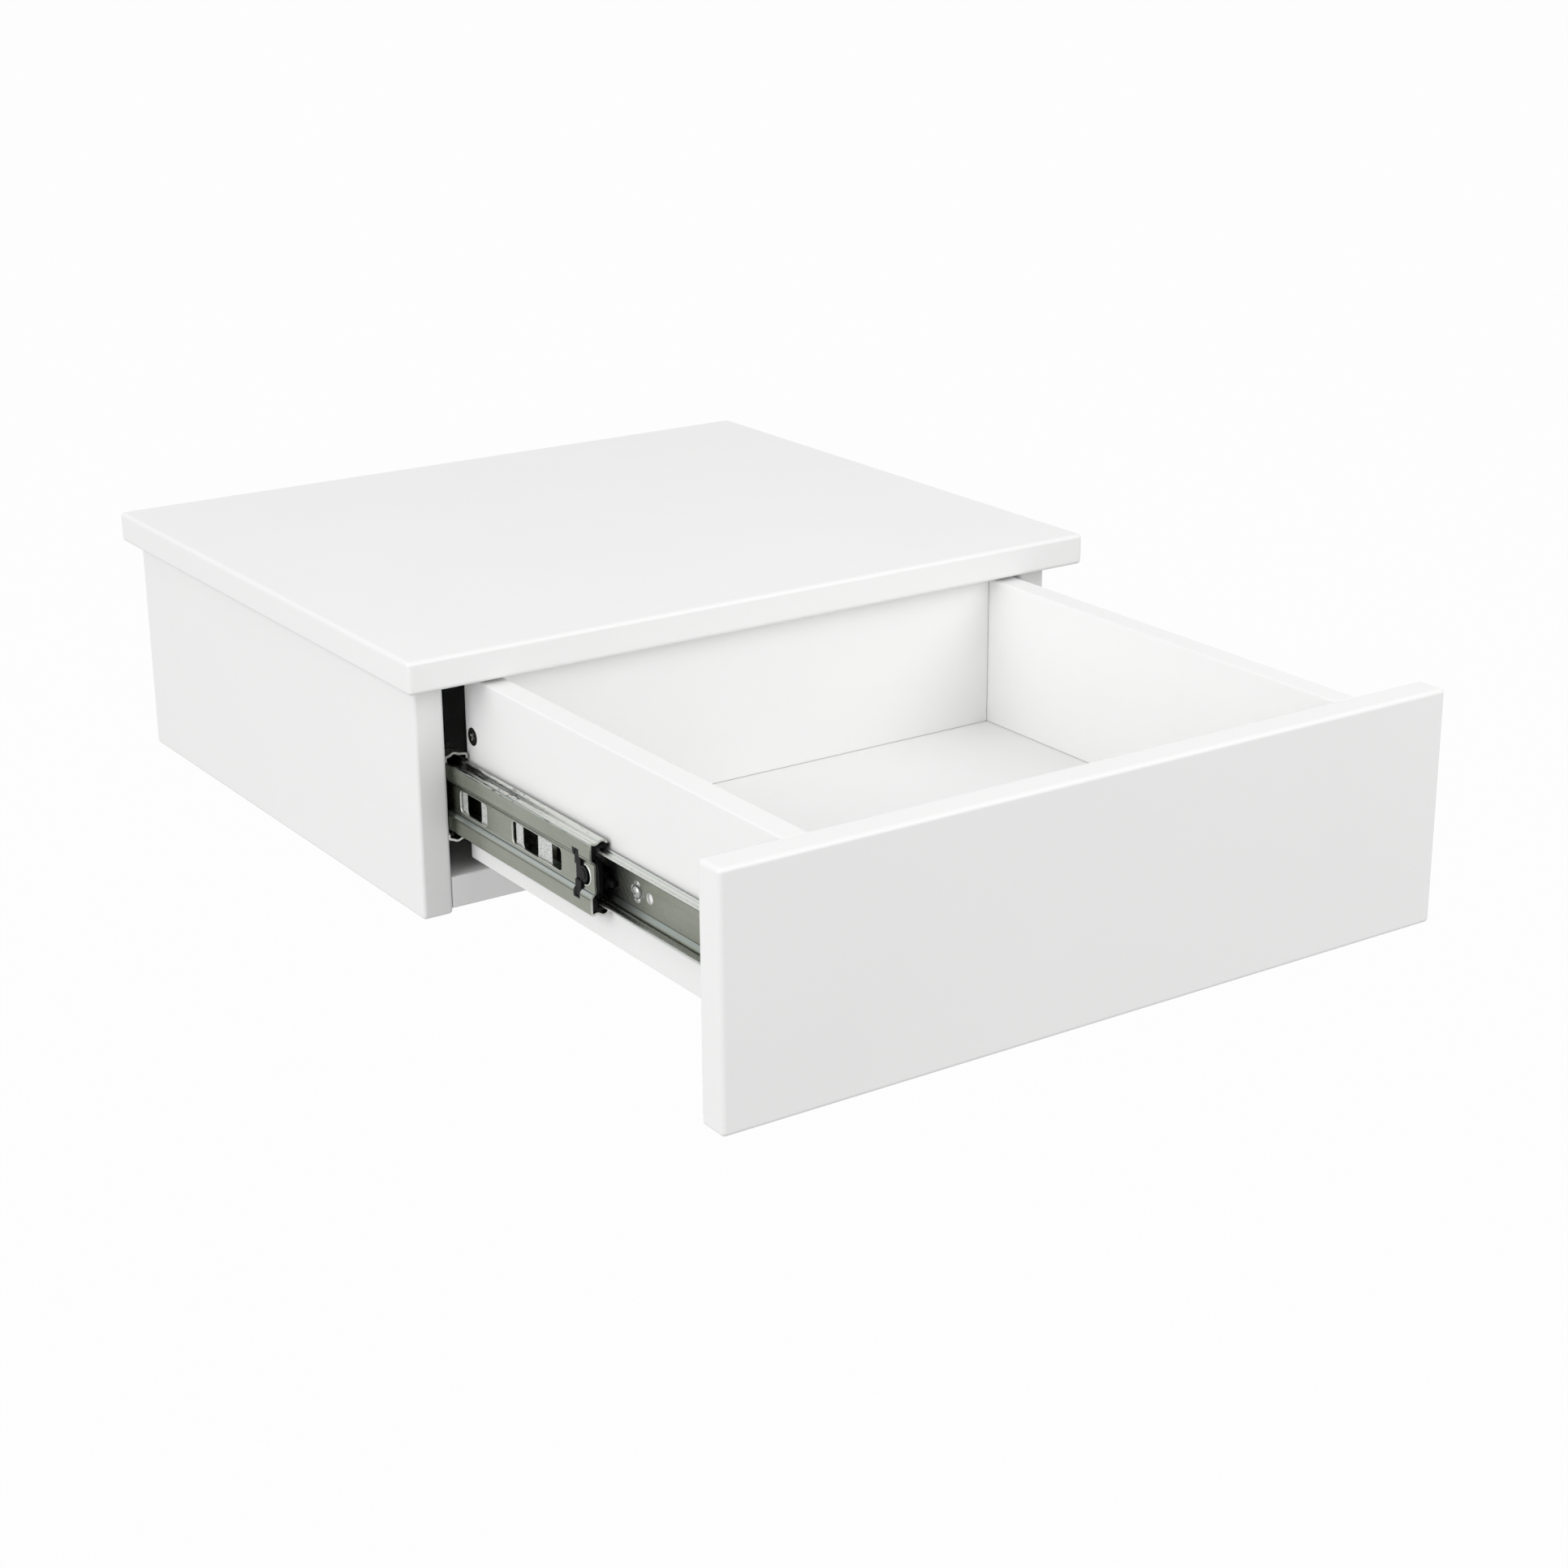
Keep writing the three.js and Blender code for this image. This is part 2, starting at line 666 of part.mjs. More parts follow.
// A rounded opening through the web of a member or cage on the right-hand slide
function webOpening(frontY, start, end, halfHeight, radius, lowU, highU) {
  const outline = new THREE.Shape();
  outline.absarc(end - radius, halfHeight - radius, radius, 0, quarterTurn);
  outline.absarc(start + radius, halfHeight - radius, radius, quarterTurn, 2 * quarterTurn);
  outline.absarc(start + radius, radius - halfHeight, radius, 2 * quarterTurn, 3 * quarterTurn);
  outline.absarc(end - radius, radius - halfHeight, radius, 3 * quarterTurn, round);
  const geometry = new THREE.ExtrudeGeometry(outline, {
    depth: highU - lowU,
    bevelEnabled: false,
    curveSegments: cornerSteps,
  });
  const place = placeAt([insideHalfWidth - highU, frontY, slideZ], [1, 0, 0], [0, 1, 0]);
  return at(place, geometry);
}

// A round cutter or boss across the right-hand slide
function crossRod(frontY, setback, v, radius, lowU, highU) {
  const place = placeAt([insideHalfWidth - highU, frontY + setback, slideZ + v], [1, 0, 0], [0, 1, 0]);
  return at(place, rod(radius, 0, highU - lowU));
}

// The cabinet member is screwed to the side panel through two countersunk holes
function cabinetMember(side, label) {
  const member = alongSlide(cabinetMemberShape(), slideFrontY + slideLength, slideLength);
  const holes = memberScrewPlaces(1).map(([, place]) => at(place, sunkBore(memberScrew)));
  return piece(`${label}_slide_cabinet_member`, onSide(side, cutBy(member, holes)), zincSteel());
}

// The middle member has windows in its web and a keyed opening for the clip at its front end
const windowHalfHeight = 5.1;
const windowCorner = 2;
const webWindows = [[27, 69], [91.5, 116]]; // start and end behind the front end
const clipStart = 7.4;
const clipEnd = 14.6;
const clipHalfHeight = 5.4;
const clipTabStart = 8.8;
const clipTabHalf = 11;
const clipHoleSetback = 7.3; // round part of the keyed opening
const clipHoleRadius = 4.3;
const clipBossSetback = 8.6;
const clipBossRadius = 3.8;
const clipPlay = 0.3;

function clipOpening() {
  const lowU = bandU - overrun;
  const highU = bandU + recessDepth + 2 * sheet;
  return [
    slideBlock(slideFrontY, [lowU, clipStart, -clipHalfHeight], [highU, clipEnd, clipHalfHeight]),
    slideBlock(slideFrontY, [lowU, clipTabStart, -clipTabHalf], [highU, clipEnd - clipPlay, clipTabHalf]),
    crossRod(slideFrontY, clipHoleSetback, 0, clipHoleRadius, lowU, highU),
  ];
}

function middleMember(side, label) {
  const member = alongSlide(middleMemberShape(), slideFrontY + slideLength, slideLength);
  const openings = webWindows.map(([start, end]) => webOpening(
    slideFrontY, start, end, windowHalfHeight, windowCorner, -overrun, slideThickness / 2,
  ));
  return piece(
    `${label}_slide_middle_member`,
    onSide(side, cutBy(member, [...openings, ...clipOpening()])),
    zincSteel(),
  );
}

// The clip fills the keyed opening from behind, plugs the front end of the middle member
// above and below the drawer member and stands proud in front as a bumper. Its reaches are
// measured from the side panel.
const clipReach = 7.2;
const tabReach = 5.7;
const bumperReach = 7.7;
const plugReach = 12;
const clipPlateHalf = 8.6;
const bumperProud = 1.4;
const bumperRear = 5;
const plugStart = 0.4;
const plugEnd = 6;

function clipGeometry() {
  const recessInside = bandU + recessDepth + sheet + clipPlay;
  const recessFace = bandU + recessDepth;
  const bandInside = bandU + sheet + clipPlay;
  const tabFace = bandU + sheet / 2;
  const keyHalf = clipHalfHeight - clipPlay;
  const tabHalf = clipTabHalf - clipPlay;
  const plugHalf = outerRow.y - raceRadius - sheet / 2 - clipPlay;
  const ledgeHalf = drawerFlangeTop + clipPlay;
  const blocks = [
    [[recessInside, plugStart, -clipPlateHalf], [clipReach, clipEnd, clipPlateHalf]],
    [[recessInside, -bumperProud, -clipPlateHalf], [bumperReach, bumperRear, clipPlateHalf]],
    [[recessFace, clipStart + clipPlay, -keyHalf], [clipReach, clipEnd - clipPlay, keyHalf]],
  ];
  const upper = [
    [[tabFace, clipTabStart + clipPlay, keyHalf - joggle], [tabReach, clipEnd - 2 * clipPlay, tabHalf]],
    [[bandInside, plugStart, clipPlateHalf - clipPlay], [tabReach, plugEnd, plugHalf]],
    [[bandInside, plugStart, ledgeHalf], [plugReach, plugEnd, plugHalf]],
  ];
  const lower = upper.map(([low, high]) => [
    [low[0], low[1], -high[2]],
    [high[0], high[1], -low[2]],
  ]);
  const boss = crossRod(slideFrontY, clipBossSetback, 0, clipBossRadius, recessFace, clipReach);
  const solids = [...blocks, ...upper, ...lower].map(([low, high]) => slideBlock(slideFrontY, low, high));
  return joined([...solids, boss]);
}

// The drawer member is screwed to the drawer side by pan-head screws in cross-shaped holes
const lobeHalfLength = 4.6;
const lobeHalfWidth = 2.1;
const lobeCorner = 1.8;
const spareHoleSetback = 94.4;
const spareHoleRadius = 2.3;

function drawerMember(side, label) {
  const member = alongSlide(drawerMemberShape(), frontBackY + seatGap + slideLength, slideLength);
  const lowU = slideThickness - 2 * sheet;
  const highU = slideThickness + overrun;
  const lobes = [[lobeHalfWidth, lobeHalfLength], [lobeHalfLength, lobeHalfWidth]];
  const crosses = panScrewSetbacks.flatMap(([, setback]) => lobes.map(([along, tall]) => webOpening(
    frontBackY, setback - along, setback + along, tall, lobeCorner, lowU, highU,
  )));
  const spare = crossRod(frontBackY, spareHoleSetback, 0, spareHoleRadius, lowU, highU);
  return piece(
    `${label}_slide_drawer_member`,
    onSide(side, cutBy(member, [...crosses, spare])),
    zincSteel(),
  );
}

// The release lever lies on the web of the drawer member; pressing it lets the drawer come out
const leverSetback = 120;
const leverLength = 46;
const leverHalf = 3.6;
const leverNoseHalf = 1.3;
const leverThickness = 2.2;
const leverDrop = 1.9;
const leverBossRadius = 4.6;
const leverPad = 12;

function leverGeometry() {
  const highU = slideThickness - sheet - 2 * seatGap;
  const lowU = highU - leverThickness;
  const nose = slideBlock(
    frontBackY,
    [lowU, leverSetback, -leverNoseHalf - leverDrop],
    [highU, leverSetback + leverPad, leverNoseHalf - leverDrop],
  );
  const arm = slideBlock(
    frontBackY,
    [lowU, leverSetback + leverPad / 2, -leverHalf - leverDrop],
    [highU, leverSetback + leverLength, leverHalf - leverDrop],
  );
  const boss = crossRod(frontBackY, leverSetback + leverLength / 2, -leverDrop, leverBossRadius, lowU, highU);
  return joined([nose, arm, boss]);
}

// A ball cage is a strip with windows and an arm along each row, and its balls sit in the arms
const outerCage = {
  setback: 63.5, length: 110, half: 12, windows: [[8, 34], [40, 70], [76, 102]], ballPitch: 22, balls: 5,
};
const innerCage = {
  setback: 97.5, length: 85, half: 5.6, windows: [[12, 25], [31, 56], [62, 75]], ballPitch: 16, balls: 5,
};
const armReach = 1.9; // arm past the middle of its row
const ballSides = 6;
const ballRings = 4;

function cageGeometry(cage, row, stripU) {
  const frontY = slideFrontY + cage.setback;
  const armLow = row.y - cageSheet / 2;
  const armHigh = row.y + cageSheet / 2;
  const strip = slideBlock(frontY, [stripU, 0, -armHigh], [stripU + cageSheet, cage.length, armHigh]);
  const arms = [-1, 1].map((end) => slideBlock(
    frontY,
    [stripU, 0, end > 0 ? armLow : -armHigh],
    [row.x + armReach, cage.length, end > 0 ? armHigh : -armLow],
  ));
  const balls = [];
  for (let i = 0; i < cage.balls; i += 1) {
    const along = frontY + cage.length / 2 + cage.ballPitch * (i - (cage.balls - 1) / 2);
    for (const end of [-1, 1]) {
      const ball = new THREE.SphereGeometry(ballRadius, ballSides, ballRings);
      ball.rotateX(quarterTurn);
      balls.push(ball.translate(insideHalfWidth - row.x, along, slideZ + end * row.y));
    }
  }
  const windows = cage.windows.map(([start, end]) => webOpening(
    frontY, start, end, cage.half, windowCorner, stripU - cageGap, stripU + 2 * cageSheet,
  ));
  return cutBy(joined([strip, ...arms, ...balls]), windows);
}

function ballCage(side, name, cage, row, stripU) {
  return piece(name, onSide(side, cageGeometry(cage, row, stripU)), cageSteel());
}

// The whole nightstand

const nightstand = new THREE.Group();
const cabinet = new THREE.Group();
const drawer = new THREE.Group();
drawer.position.y = -drawerOpen;
nightstand.add(cabinet, drawer);

cabinet.add(topPanel(), bottomPanel(), backPanel());
drawer.add(drawerFront(), drawerBack(), drawerFloor());

for (const [side, label] of sides) {
  cabinet.add(sidePanel(side, label), cabinetMember(side, label));
  for (const [end, place] of topCamPlaces(side)) {
    addFitting(cabinet, `${label}_${end}_top`, cabinetCam, place, sideThickness);
  }
  for (const [end, place] of bottomDowelPlaces(side)) {
    cabinet.add(placed(piece(`${label}_${end}_bottom_dowel`, dowelGeometry(), beech()), place));
  }
  for (const [end, place] of backDowelPlaces(side)) {
    cabinet.add(placed(piece(`${label}_${end}_back_dowel`, dowelGeometry(), beech()), place));
  }
  for (const [end, place] of memberScrewPlaces(side)) {
    const screw = piece(`${label}_${end}_cabinet_slide_screw`, sunkScrew(memberScrew), nickel());
    cabinet.add(placed(screw, place));
  }

  drawer.add(drawerSide(side, label), drawerMember(side, label));
  drawer.add(piece(`${label}_slide_release_lever`, onSide(side, leverGeometry()), blackPlastic()));
  addFitting(drawer, `${label}_drawer_front`, drawerCam, drawerFrontPlace(side), drawerSideThickness);
  for (const [end, place] of boxScrewPlaces(side)) {
    drawer.add(placed(piece(`${label}_${end}_drawer_back_screw`, sunkScrew(boxScrew), nickel()), place));
  }
  for (const [end, place] of panScrewPlaces(side)) {
    drawer.add(placed(piece(`${label}_${end}_drawer_slide_screw`, panScrew(), zincSteel()), place));
  }

  // The middle member travels half as far as the drawer, and each cage the mean of its neighbours
  const middle = new THREE.Group();
  middle.position.y = -drawerOpen / 2;
  middle.add(
    middleMember(side, label),
    piece(`${label}_slide_clip`, onSide(side, clipGeometry()), blackPlastic()),
  );
  const outer = new THREE.Group();
  outer.position.y = -drawerOpen / 4;
  outer.add(ballCage(side, `${label}_slide_outer_ball_cage`, outerCage, outerRow, seatGap + sheet + cageGap));
  const inner = new THREE.Group();
  inner.position.y = -3 * drawerOpen / 4;
  const innerStripU = bandU + recessDepth + sheet + cageGap;
  inner.add(ballCage(side, `${label}_slide_inner_ball_cage`, innerCage, innerRow, innerStripU));
  nightstand.add(middle, outer, inner);
}

export default nightstand;
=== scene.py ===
# A floating nightstand with one drawer, which stands open on its ball-bearing slides.
# Lengths are in metres: X runs to the right, Y into the wall and Z up.
from math import asin, cos, pi, radians, sin, sqrt

import bmesh
import bpy
from mathutils import Matrix, Vector


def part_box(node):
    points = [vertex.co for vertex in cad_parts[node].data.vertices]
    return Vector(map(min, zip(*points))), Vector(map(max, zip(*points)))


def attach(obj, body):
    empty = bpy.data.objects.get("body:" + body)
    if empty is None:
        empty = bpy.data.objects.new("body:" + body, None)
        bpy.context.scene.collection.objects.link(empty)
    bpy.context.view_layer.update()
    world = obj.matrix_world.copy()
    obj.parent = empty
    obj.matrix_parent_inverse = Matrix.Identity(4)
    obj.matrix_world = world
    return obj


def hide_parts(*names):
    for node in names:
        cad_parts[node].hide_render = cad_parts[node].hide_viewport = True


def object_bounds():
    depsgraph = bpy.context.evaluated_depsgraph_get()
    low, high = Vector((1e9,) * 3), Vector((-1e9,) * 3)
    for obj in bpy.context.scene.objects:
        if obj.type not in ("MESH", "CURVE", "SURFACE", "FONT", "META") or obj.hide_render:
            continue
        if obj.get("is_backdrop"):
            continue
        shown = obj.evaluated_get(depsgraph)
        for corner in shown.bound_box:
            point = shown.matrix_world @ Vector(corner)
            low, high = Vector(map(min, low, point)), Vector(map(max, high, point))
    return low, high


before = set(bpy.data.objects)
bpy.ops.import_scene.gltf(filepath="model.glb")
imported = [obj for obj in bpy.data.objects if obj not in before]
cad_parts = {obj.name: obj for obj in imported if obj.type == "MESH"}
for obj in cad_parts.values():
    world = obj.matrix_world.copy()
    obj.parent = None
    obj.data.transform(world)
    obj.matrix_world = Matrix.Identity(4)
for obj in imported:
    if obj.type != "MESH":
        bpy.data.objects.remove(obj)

cad_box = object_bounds()
mm = 0.001

# The camera. It stands to the left of the open drawer and looks down on it from about
# twenty degrees, with a short telephoto lens.
eye = Vector((-0.70712, -1.38196, 0.42565))
turn, dip, lean = 0.59204, 0.34254, -0.00787
ahead = Vector((sin(turn) * cos(dip), cos(turn) * cos(dip), -sin(dip)))
aside = Vector((cos(turn), -sin(turn), 0))
above = aside.cross(ahead)
right = cos(lean) * aside + sin(lean) * above
up = cos(lean) * above - sin(lean) * aside
lens = bpy.data.cameras.new("camera")
lens.sensor_fit = "HORIZONTAL"
lens.sensor_width = 36
lens.lens = 66.41
camera = bpy.data.objects.new("camera", lens)
camera.matrix_world = Matrix.Translation(eye) @ Matrix((right, up, -ahead)).transposed().to_4x4()
bpy.context.scene.collection.objects.link(camera)
bpy.context.scene.camera = camera
bpy.context.scene.view_settings.view_transform = "Standard"


# The studio. The cabinet hangs half a metre over a plain white floor, in even light with
# a wide soft lamp up on the left and a weaker one in front on the right.
class Level:
    """A number that varies over a surface, for sums in the nodes that it belongs to."""

    def __init__(self, nodes, socket):
        self.nodes = nodes
        self.socket = socket

    def worked(self, operation, *values):
        return self.nodes.add("Math", {"operation": operation}, dict(enumerate(values)))

    def __add__(self, other):
        return self.worked("ADD", self, other)

    def __sub__(self, other):
        return self.worked("SUBTRACT", self, other)

    def __rsub__(self, other):
        return self.worked("SUBTRACT", other, self)

    def __mul__(self, other):
        return self.worked("MULTIPLY", self, other)

    def __abs__(self):
        return self.worked("ABSOLUTE", self)

    __radd__ = __add__
    __rmul__ = __mul__

    def wave(self, pitch):
        """A wave from nought to one, once in every pitch."""
        return 0.5 + 0.5 * self.worked("SINE", self * (2 * pi / pitch))

    def rising(self, start, end):
        """Nought below start, one above end, and smooth between them."""
        settings = {"interpolation_type": "SMOOTHSTEP", "clamp": True}
        return self.nodes.add("MapRange", settings, {0: self, 1: start, 2: end})

    def within(self, low, high, edge):
        """One between low and high, fading over edge."""
        return self.rising(low - edge, low) * (1 - self.rising(high, high + edge))


class Nodes:
    """The nodes of a finish, or of the light all round."""

    def __init__(self, tree):
        self.tree = tree

    def feed(self, node, sockets):
        for key, value in sockets.items():
            if isinstance(value, Level):
                self.tree.links.new(value.socket, node.inputs[key])
            else:
                node.inputs[key].default_value = value

    def add(self, kind, settings, sockets, out=0):
        """Adds a node: its settings come first, then the values or links of its sockets."""
        node = self.tree.nodes.new("ShaderNode" + kind)
        for key, value in settings.items():
            setattr(node, key, value)
        self.feed(node, sockets)
        return Level(self, node.outputs[out])

    def seen(self):
        """One for what the eye sees, also in a reflection or through something clear."""
        straight = self.add("LightPath", {}, {}, out="Is Camera Ray")
        mirrored = self.add("LightPath", {}, {}, out="Is Glossy Ray")
        through = self.add("LightPath", {}, {}, out="Is Transmission Ray")
        return (straight + mirrored + through).rising(0, 1)


class Finish(Nodes):
    """A material that is built from nodes."""

    def __init__(self, name, sockets=None):
        self.material = bpy.data.materials.new(name)
        self.material.use_nodes = True
        super().__init__(self.material.node_tree)
        self.shader = self.tree.nodes["Principled BSDF"]
        self.output = self.tree.nodes["Material Output"]
        self.feed(self.shader, sockets or {})

    def blend(self, share, first, second):
        return self.add("Mix", {"data_type": "RGBA"}, {0: share, 6: first, 7: second}, out=2)

    def place(self, scale=(1, 1, 1)):
        """Where a point lies on the piece, stretched by scale."""
        here = self.add("TexCoord", {}, {}, out="Object")
        return self.add("Mapping", {}, {"Vector": here, "Scale": scale})

    def along(self, axis):
        return self.add("SeparateXYZ", {}, {0: self.place()}, out=axis)

    def cloud(self, size, detail=2, stretch=(1, 1, 1)):
        """Soft random patches about size across."""
        sockets = {"Vector": self.place(stretch), "Scale": 1 / size, "Detail": detail}
        return self.add("TexNoise", {}, sockets)

    def relief(self, height, depth):
        """Raises the surface by height, a level from nought to one, times depth."""
        bump = self.add("Bump", {}, {"Height": height, "Distance": depth})
        self.feed(self.shader, {"Normal": bump})


def formed(name, bm, finish):
    """A new object from a finished shape."""
    mesh = bpy.data.meshes.new(name)
    bm.to_mesh(mesh)
    bm.free()
    mesh.materials.append(finish.material)
    made = bpy.data.objects.new(name, mesh)
    bpy.context.scene.collection.objects.link(made)
    return made


white = (1, 1, 1, 1)
floor_grey = (0.5, 0.5, 0.5, 1)
white_share = 0.975
floor_paint = Finish("floor_paint")
floor_seen = white_share * floor_paint.seen()
floor_shade = floor_paint.add("BsdfDiffuse", {}, {"Color": floor_grey})
floor_glow = floor_paint.add("Emission", {}, {"Color": white, "Strength": 1.0})
floor_top = floor_paint.add("MixShader", {}, {0: floor_seen, 1: floor_shade, 2: floor_glow})
from_below = floor_paint.add("NewGeometry", {}, {}, out="Backfacing")
clear = floor_paint.add("BsdfTransparent", {}, {})
floor_surface = floor_paint.add("MixShader", {}, {0: from_below, 1: floor_top, 2: clear})
floor_paint.feed(floor_paint.output, {"Surface": floor_surface})
floor_drop = 0.5
floor_reach = 20
bm = bmesh.new()
bmesh.ops.create_grid(bm, x_segments=1, y_segments=1, size=floor_reach)
bmesh.ops.translate(bm, verts=bm.verts, vec=(0, 0, -floor_drop))
formed("floor", bm, floor_paint)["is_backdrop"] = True

world = bpy.data.worlds.new("studio")
world.use_nodes = True
bpy.context.scene.world = world
sky = Nodes(world.node_tree)
daylight = sky.tree.nodes["Background"]
sky.feed(daylight, {"Color": white, "Strength": 0.68})
backdrop = sky.add("Background", {}, {"Color": white, "Strength": 1.0})
all_round = sky.add("MixShader", {}, {0: sky.seen(), 1: Level(sky, daylight.outputs[0]), 2: backdrop})
sky.feed(sky.tree.nodes["World Output"], {"Surface": all_round})

lamps_aim = Vector((0, -0.25, 0))
for name, size, power, spot in (
    ("left_lamp", 1.6, 25, (-2.2, -0.7, 0.9)),
    ("front_lamp", 1.2, 11.8, (0.7, -1.72, 1.05)),
):
    lamp = bpy.data.lights.new(name, "AREA")
    lamp.shape = "SQUARE"
    lamp.size = size
    lamp.energy = power
    lamp_object = bpy.data.objects.new(name, lamp)
    facing = (lamps_aim - Vector(spot)).to_track_quat("-Z", "Y").to_matrix().to_4x4()
    lamp_object.matrix_world = Matrix.Translation(spot) @ facing
    bpy.context.scene.collection.objects.link(lamp_object)


# The boards of the cabinet. They are fibreboard, rounded on every edge and sprayed with a
# white satin lacquer. Bores for the fittings go into the ends and the inner faces.
lacquer = Finish("white_satin_lacquer", {"IOR": 1.5})
tone = lacquer.cloud(90 * mm, 3)
lacquer.feed(lacquer.shader, {
    "Base Color": lacquer.blend(tone, (0.855, 0.857, 0.852, 1), (0.885, 0.885, 0.882, 1)),
    "Roughness": 0.34 + 0.1 * lacquer.cloud(14 * mm, 4),
})
lacquer.relief(lacquer.cloud(1.6 * mm, 2), 0.03 * mm)

fibreboard = Finish("fibreboard", {"Roughness": 0.9})
fibres = fibreboard.cloud(0.7 * mm, 4)
fibreboard.feed(fibreboard.shader, {
    "Base Color": fibreboard.blend(fibres, (0.32, 0.22, 0.13, 1), (0.52, 0.38, 0.25, 1)),
})
fibreboard.relief(fibres, 0.15 * mm)

sliver = 0.01 * mm
sharp_angle = radians(40)


def finished(made):
    """Carries out the modifiers and leaves one plain mesh, without slivers between close corners."""
    bpy.context.view_layer.update()
    worked = made.evaluated_get(bpy.context.evaluated_depsgraph_get())
    mesh = bpy.data.meshes.new_from_object(worked)
    bm = bmesh.new()
    bm.from_mesh(mesh)
    bmesh.ops.remove_doubles(bm, verts=bm.verts, dist=sliver)
    bm.to_mesh(mesh)
    bm.free()
    made.modifiers.clear()
    made.data = mesh
    return made


def combined(made, others, operation):
    """Works other shapes into a piece; the faces that they leave on it keep their material."""
    for other in others:
        modifier = made.modifiers.new("combined", "BOOLEAN")
        modifier.operation = operation
        modifier.solver = "EXACT"
        modifier.material_mode = "TRANSFER"
        modifier.object = other
    finished(made)
    for other in others:
        bpy.data.objects.remove(other)
    return made


def cut(made, cutters):
    return combined(made, cutters, "DIFFERENCE")


def fitted(made, body, node):
    """Shades a piece smoothly between its sharp edges and puts it in its node's place."""
    made.data.shade_smooth()
    made.data.set_sharp_from_angle(angle=sharp_angle)
    weighted = made.modifiers.new("even_shading", "WEIGHTED_NORMAL")
    weighted.keep_sharp = True
    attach(made, body)
    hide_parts(node)


def rounded(bm, edges, radius, segments=3):
    bmesh.ops.bevel(bm, geom=edges, offset=radius, segments=segments, profile=0.5,
                    affect="EDGES", material=-1)
    return bm


def block(low, high, radius=0, segments=3):
    """A block between two corners with rounded edges."""
    low, high = Vector(low), Vector(high)
    bm = bmesh.new()
    bmesh.ops.create_cube(bm, size=1)
    bmesh.ops.scale(bm, verts=bm.verts, vec=high - low)
    bmesh.ops.translate(bm, verts=bm.verts, vec=(high + low) / 2)
    if radius:
        rounded(bm, bm.edges[:], radius, segments)
    return bm


def crosswise(bm):
    """The edges of a shape that run along X."""
    return [e for e in bm.edges if abs(e.verts[0].co.x - e.verts[1].co.x) > mm]


def rod(radius, low, high, segments=40, end_radius=None, bm=None):
    """A rod along Z between two heights, tapered if its upper end has a radius of its own. It
    stands alone, or beside what a given shape holds already."""
    if bm is None:
        bm = bmesh.new()
    made = bmesh.ops.create_cone(bm, cap_ends=True, segments=segments, depth=high - low, radius1=radius,
                                 radius2=radius if end_radius is None else end_radius)
    bmesh.ops.translate(bm, verts=made["verts"], vec=(0, 0, (low + high) / 2))
    return bm


def moved(bm, place):
    bmesh.ops.transform(bm, verts=bm.verts, matrix=place)
    return bm


def seat(node, out, twist=0.0):
    """A fitting's place: its own Z points out of the face that it is let into."""
    low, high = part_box(node)
    out = Vector(out)
    reach = Vector([(high[k] - low[k]) / 2 * out[k] for k in range(3)])
    facing = out.to_track_quat("Z", "Y").to_matrix().to_4x4()
    return Matrix.Translation((low + high) / 2 + reach) @ facing @ Matrix.Rotation(twist, 4, "Z")


def board(node, finish, radius):
    """A board, rounded on all its edges."""
    low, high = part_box(node)
    return formed(node + "_board", block(low, high, radius, 5), finish)


bore_play = 0.3 * mm
bore_past = 1 * mm


def bore(node, out, radius=None):
    """A round cutter about a fitting's place, open on the side that it goes in from."""
    low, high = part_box(node)
    deep = max(range(3), key=lambda k: abs(out[k]))
    wide = max(high[k] - low[k] for k in range(3) if k != deep) / 2
    bm = rod((radius or wide) + bore_play, low[deep] - high[deep] - bore_play, bore_past)
    return formed(node + "_bore", moved(bm, seat(node, out)), fibreboard)


lacquer_round = 2 * mm
bottom_round = 1.2 * mm
cabinet_pilot = 1.4 * mm
sides = ((-1, "left"), (1, "right"))
ends = ("front", "rear")

top_panel = board("top_panel", lacquer, lacquer_round)
cut(top_panel, [bore(f"{label}_{end}_top_cam_bolt", (0, 0, -1)) for _, label in sides for end in ends])
fitted(top_panel, "cabinet", "top_panel")

for side, label in sides:
    inward = (-side, 0, 0)
    panel = board(f"{label}_side_panel", lacquer, lacquer_round)
    cutters = [bore(f"{label}_{end}_top_cam", inward) for end in ends]
    cutters += [bore(f"{label}_{end}_top_cam_bolt", (0, 0, 1)) for end in ends]
    cutters += [bore(f"{label}_{end}_bottom_dowel", inward) for end in ends]
    cutters += [bore(f"{label}_{end}_back_dowel", inward) for end in ("upper", "lower")]
    cutters += [bore(f"{label}_{end}_cabinet_slide_screw", inward, cabinet_pilot) for end in ends]
    fitted(cut(panel, cutters), "cabinet", f"{label}_side_panel")

bm = block(*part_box("bottom_panel"))
bottom_panel = formed("bottom_panel_board", rounded(bm, crosswise(bm), bottom_round, 4), lacquer)
cutters = [bore(f"{label}_{end}_bottom_dowel", (side, 0, 0)) for side, label in sides for end in ends]
fitted(cut(bottom_panel, cutters), "cabinet", "bottom_panel")

# The back panel is a foil-covered board set between the side panels. Two holes in it take
# the wall screws that carry the nightstand.
foil = Finish("white_foil", {"IOR": 1.46})
foil.feed(foil.shader, {
    "Base Color": foil.blend(foil.cloud(60 * mm, 3), (0.875, 0.877, 0.872, 1), (0.9, 0.9, 0.897, 1)),
    "Roughness": 0.44 + 0.1 * foil.cloud(9 * mm, 4),
})
foil.relief(foil.cloud(0.9 * mm, 3), 0.02 * mm)
foil_round = 0.7 * mm
wall_hole_aside = 100 * mm
wall_hole_height = 18 * mm
wall_hole_radius = 2.75 * mm
wall_hole_past = 7.5 * mm
wall_sink_radius = 5.5 * mm
wall_sink_depth = wall_sink_radius - wall_hole_radius

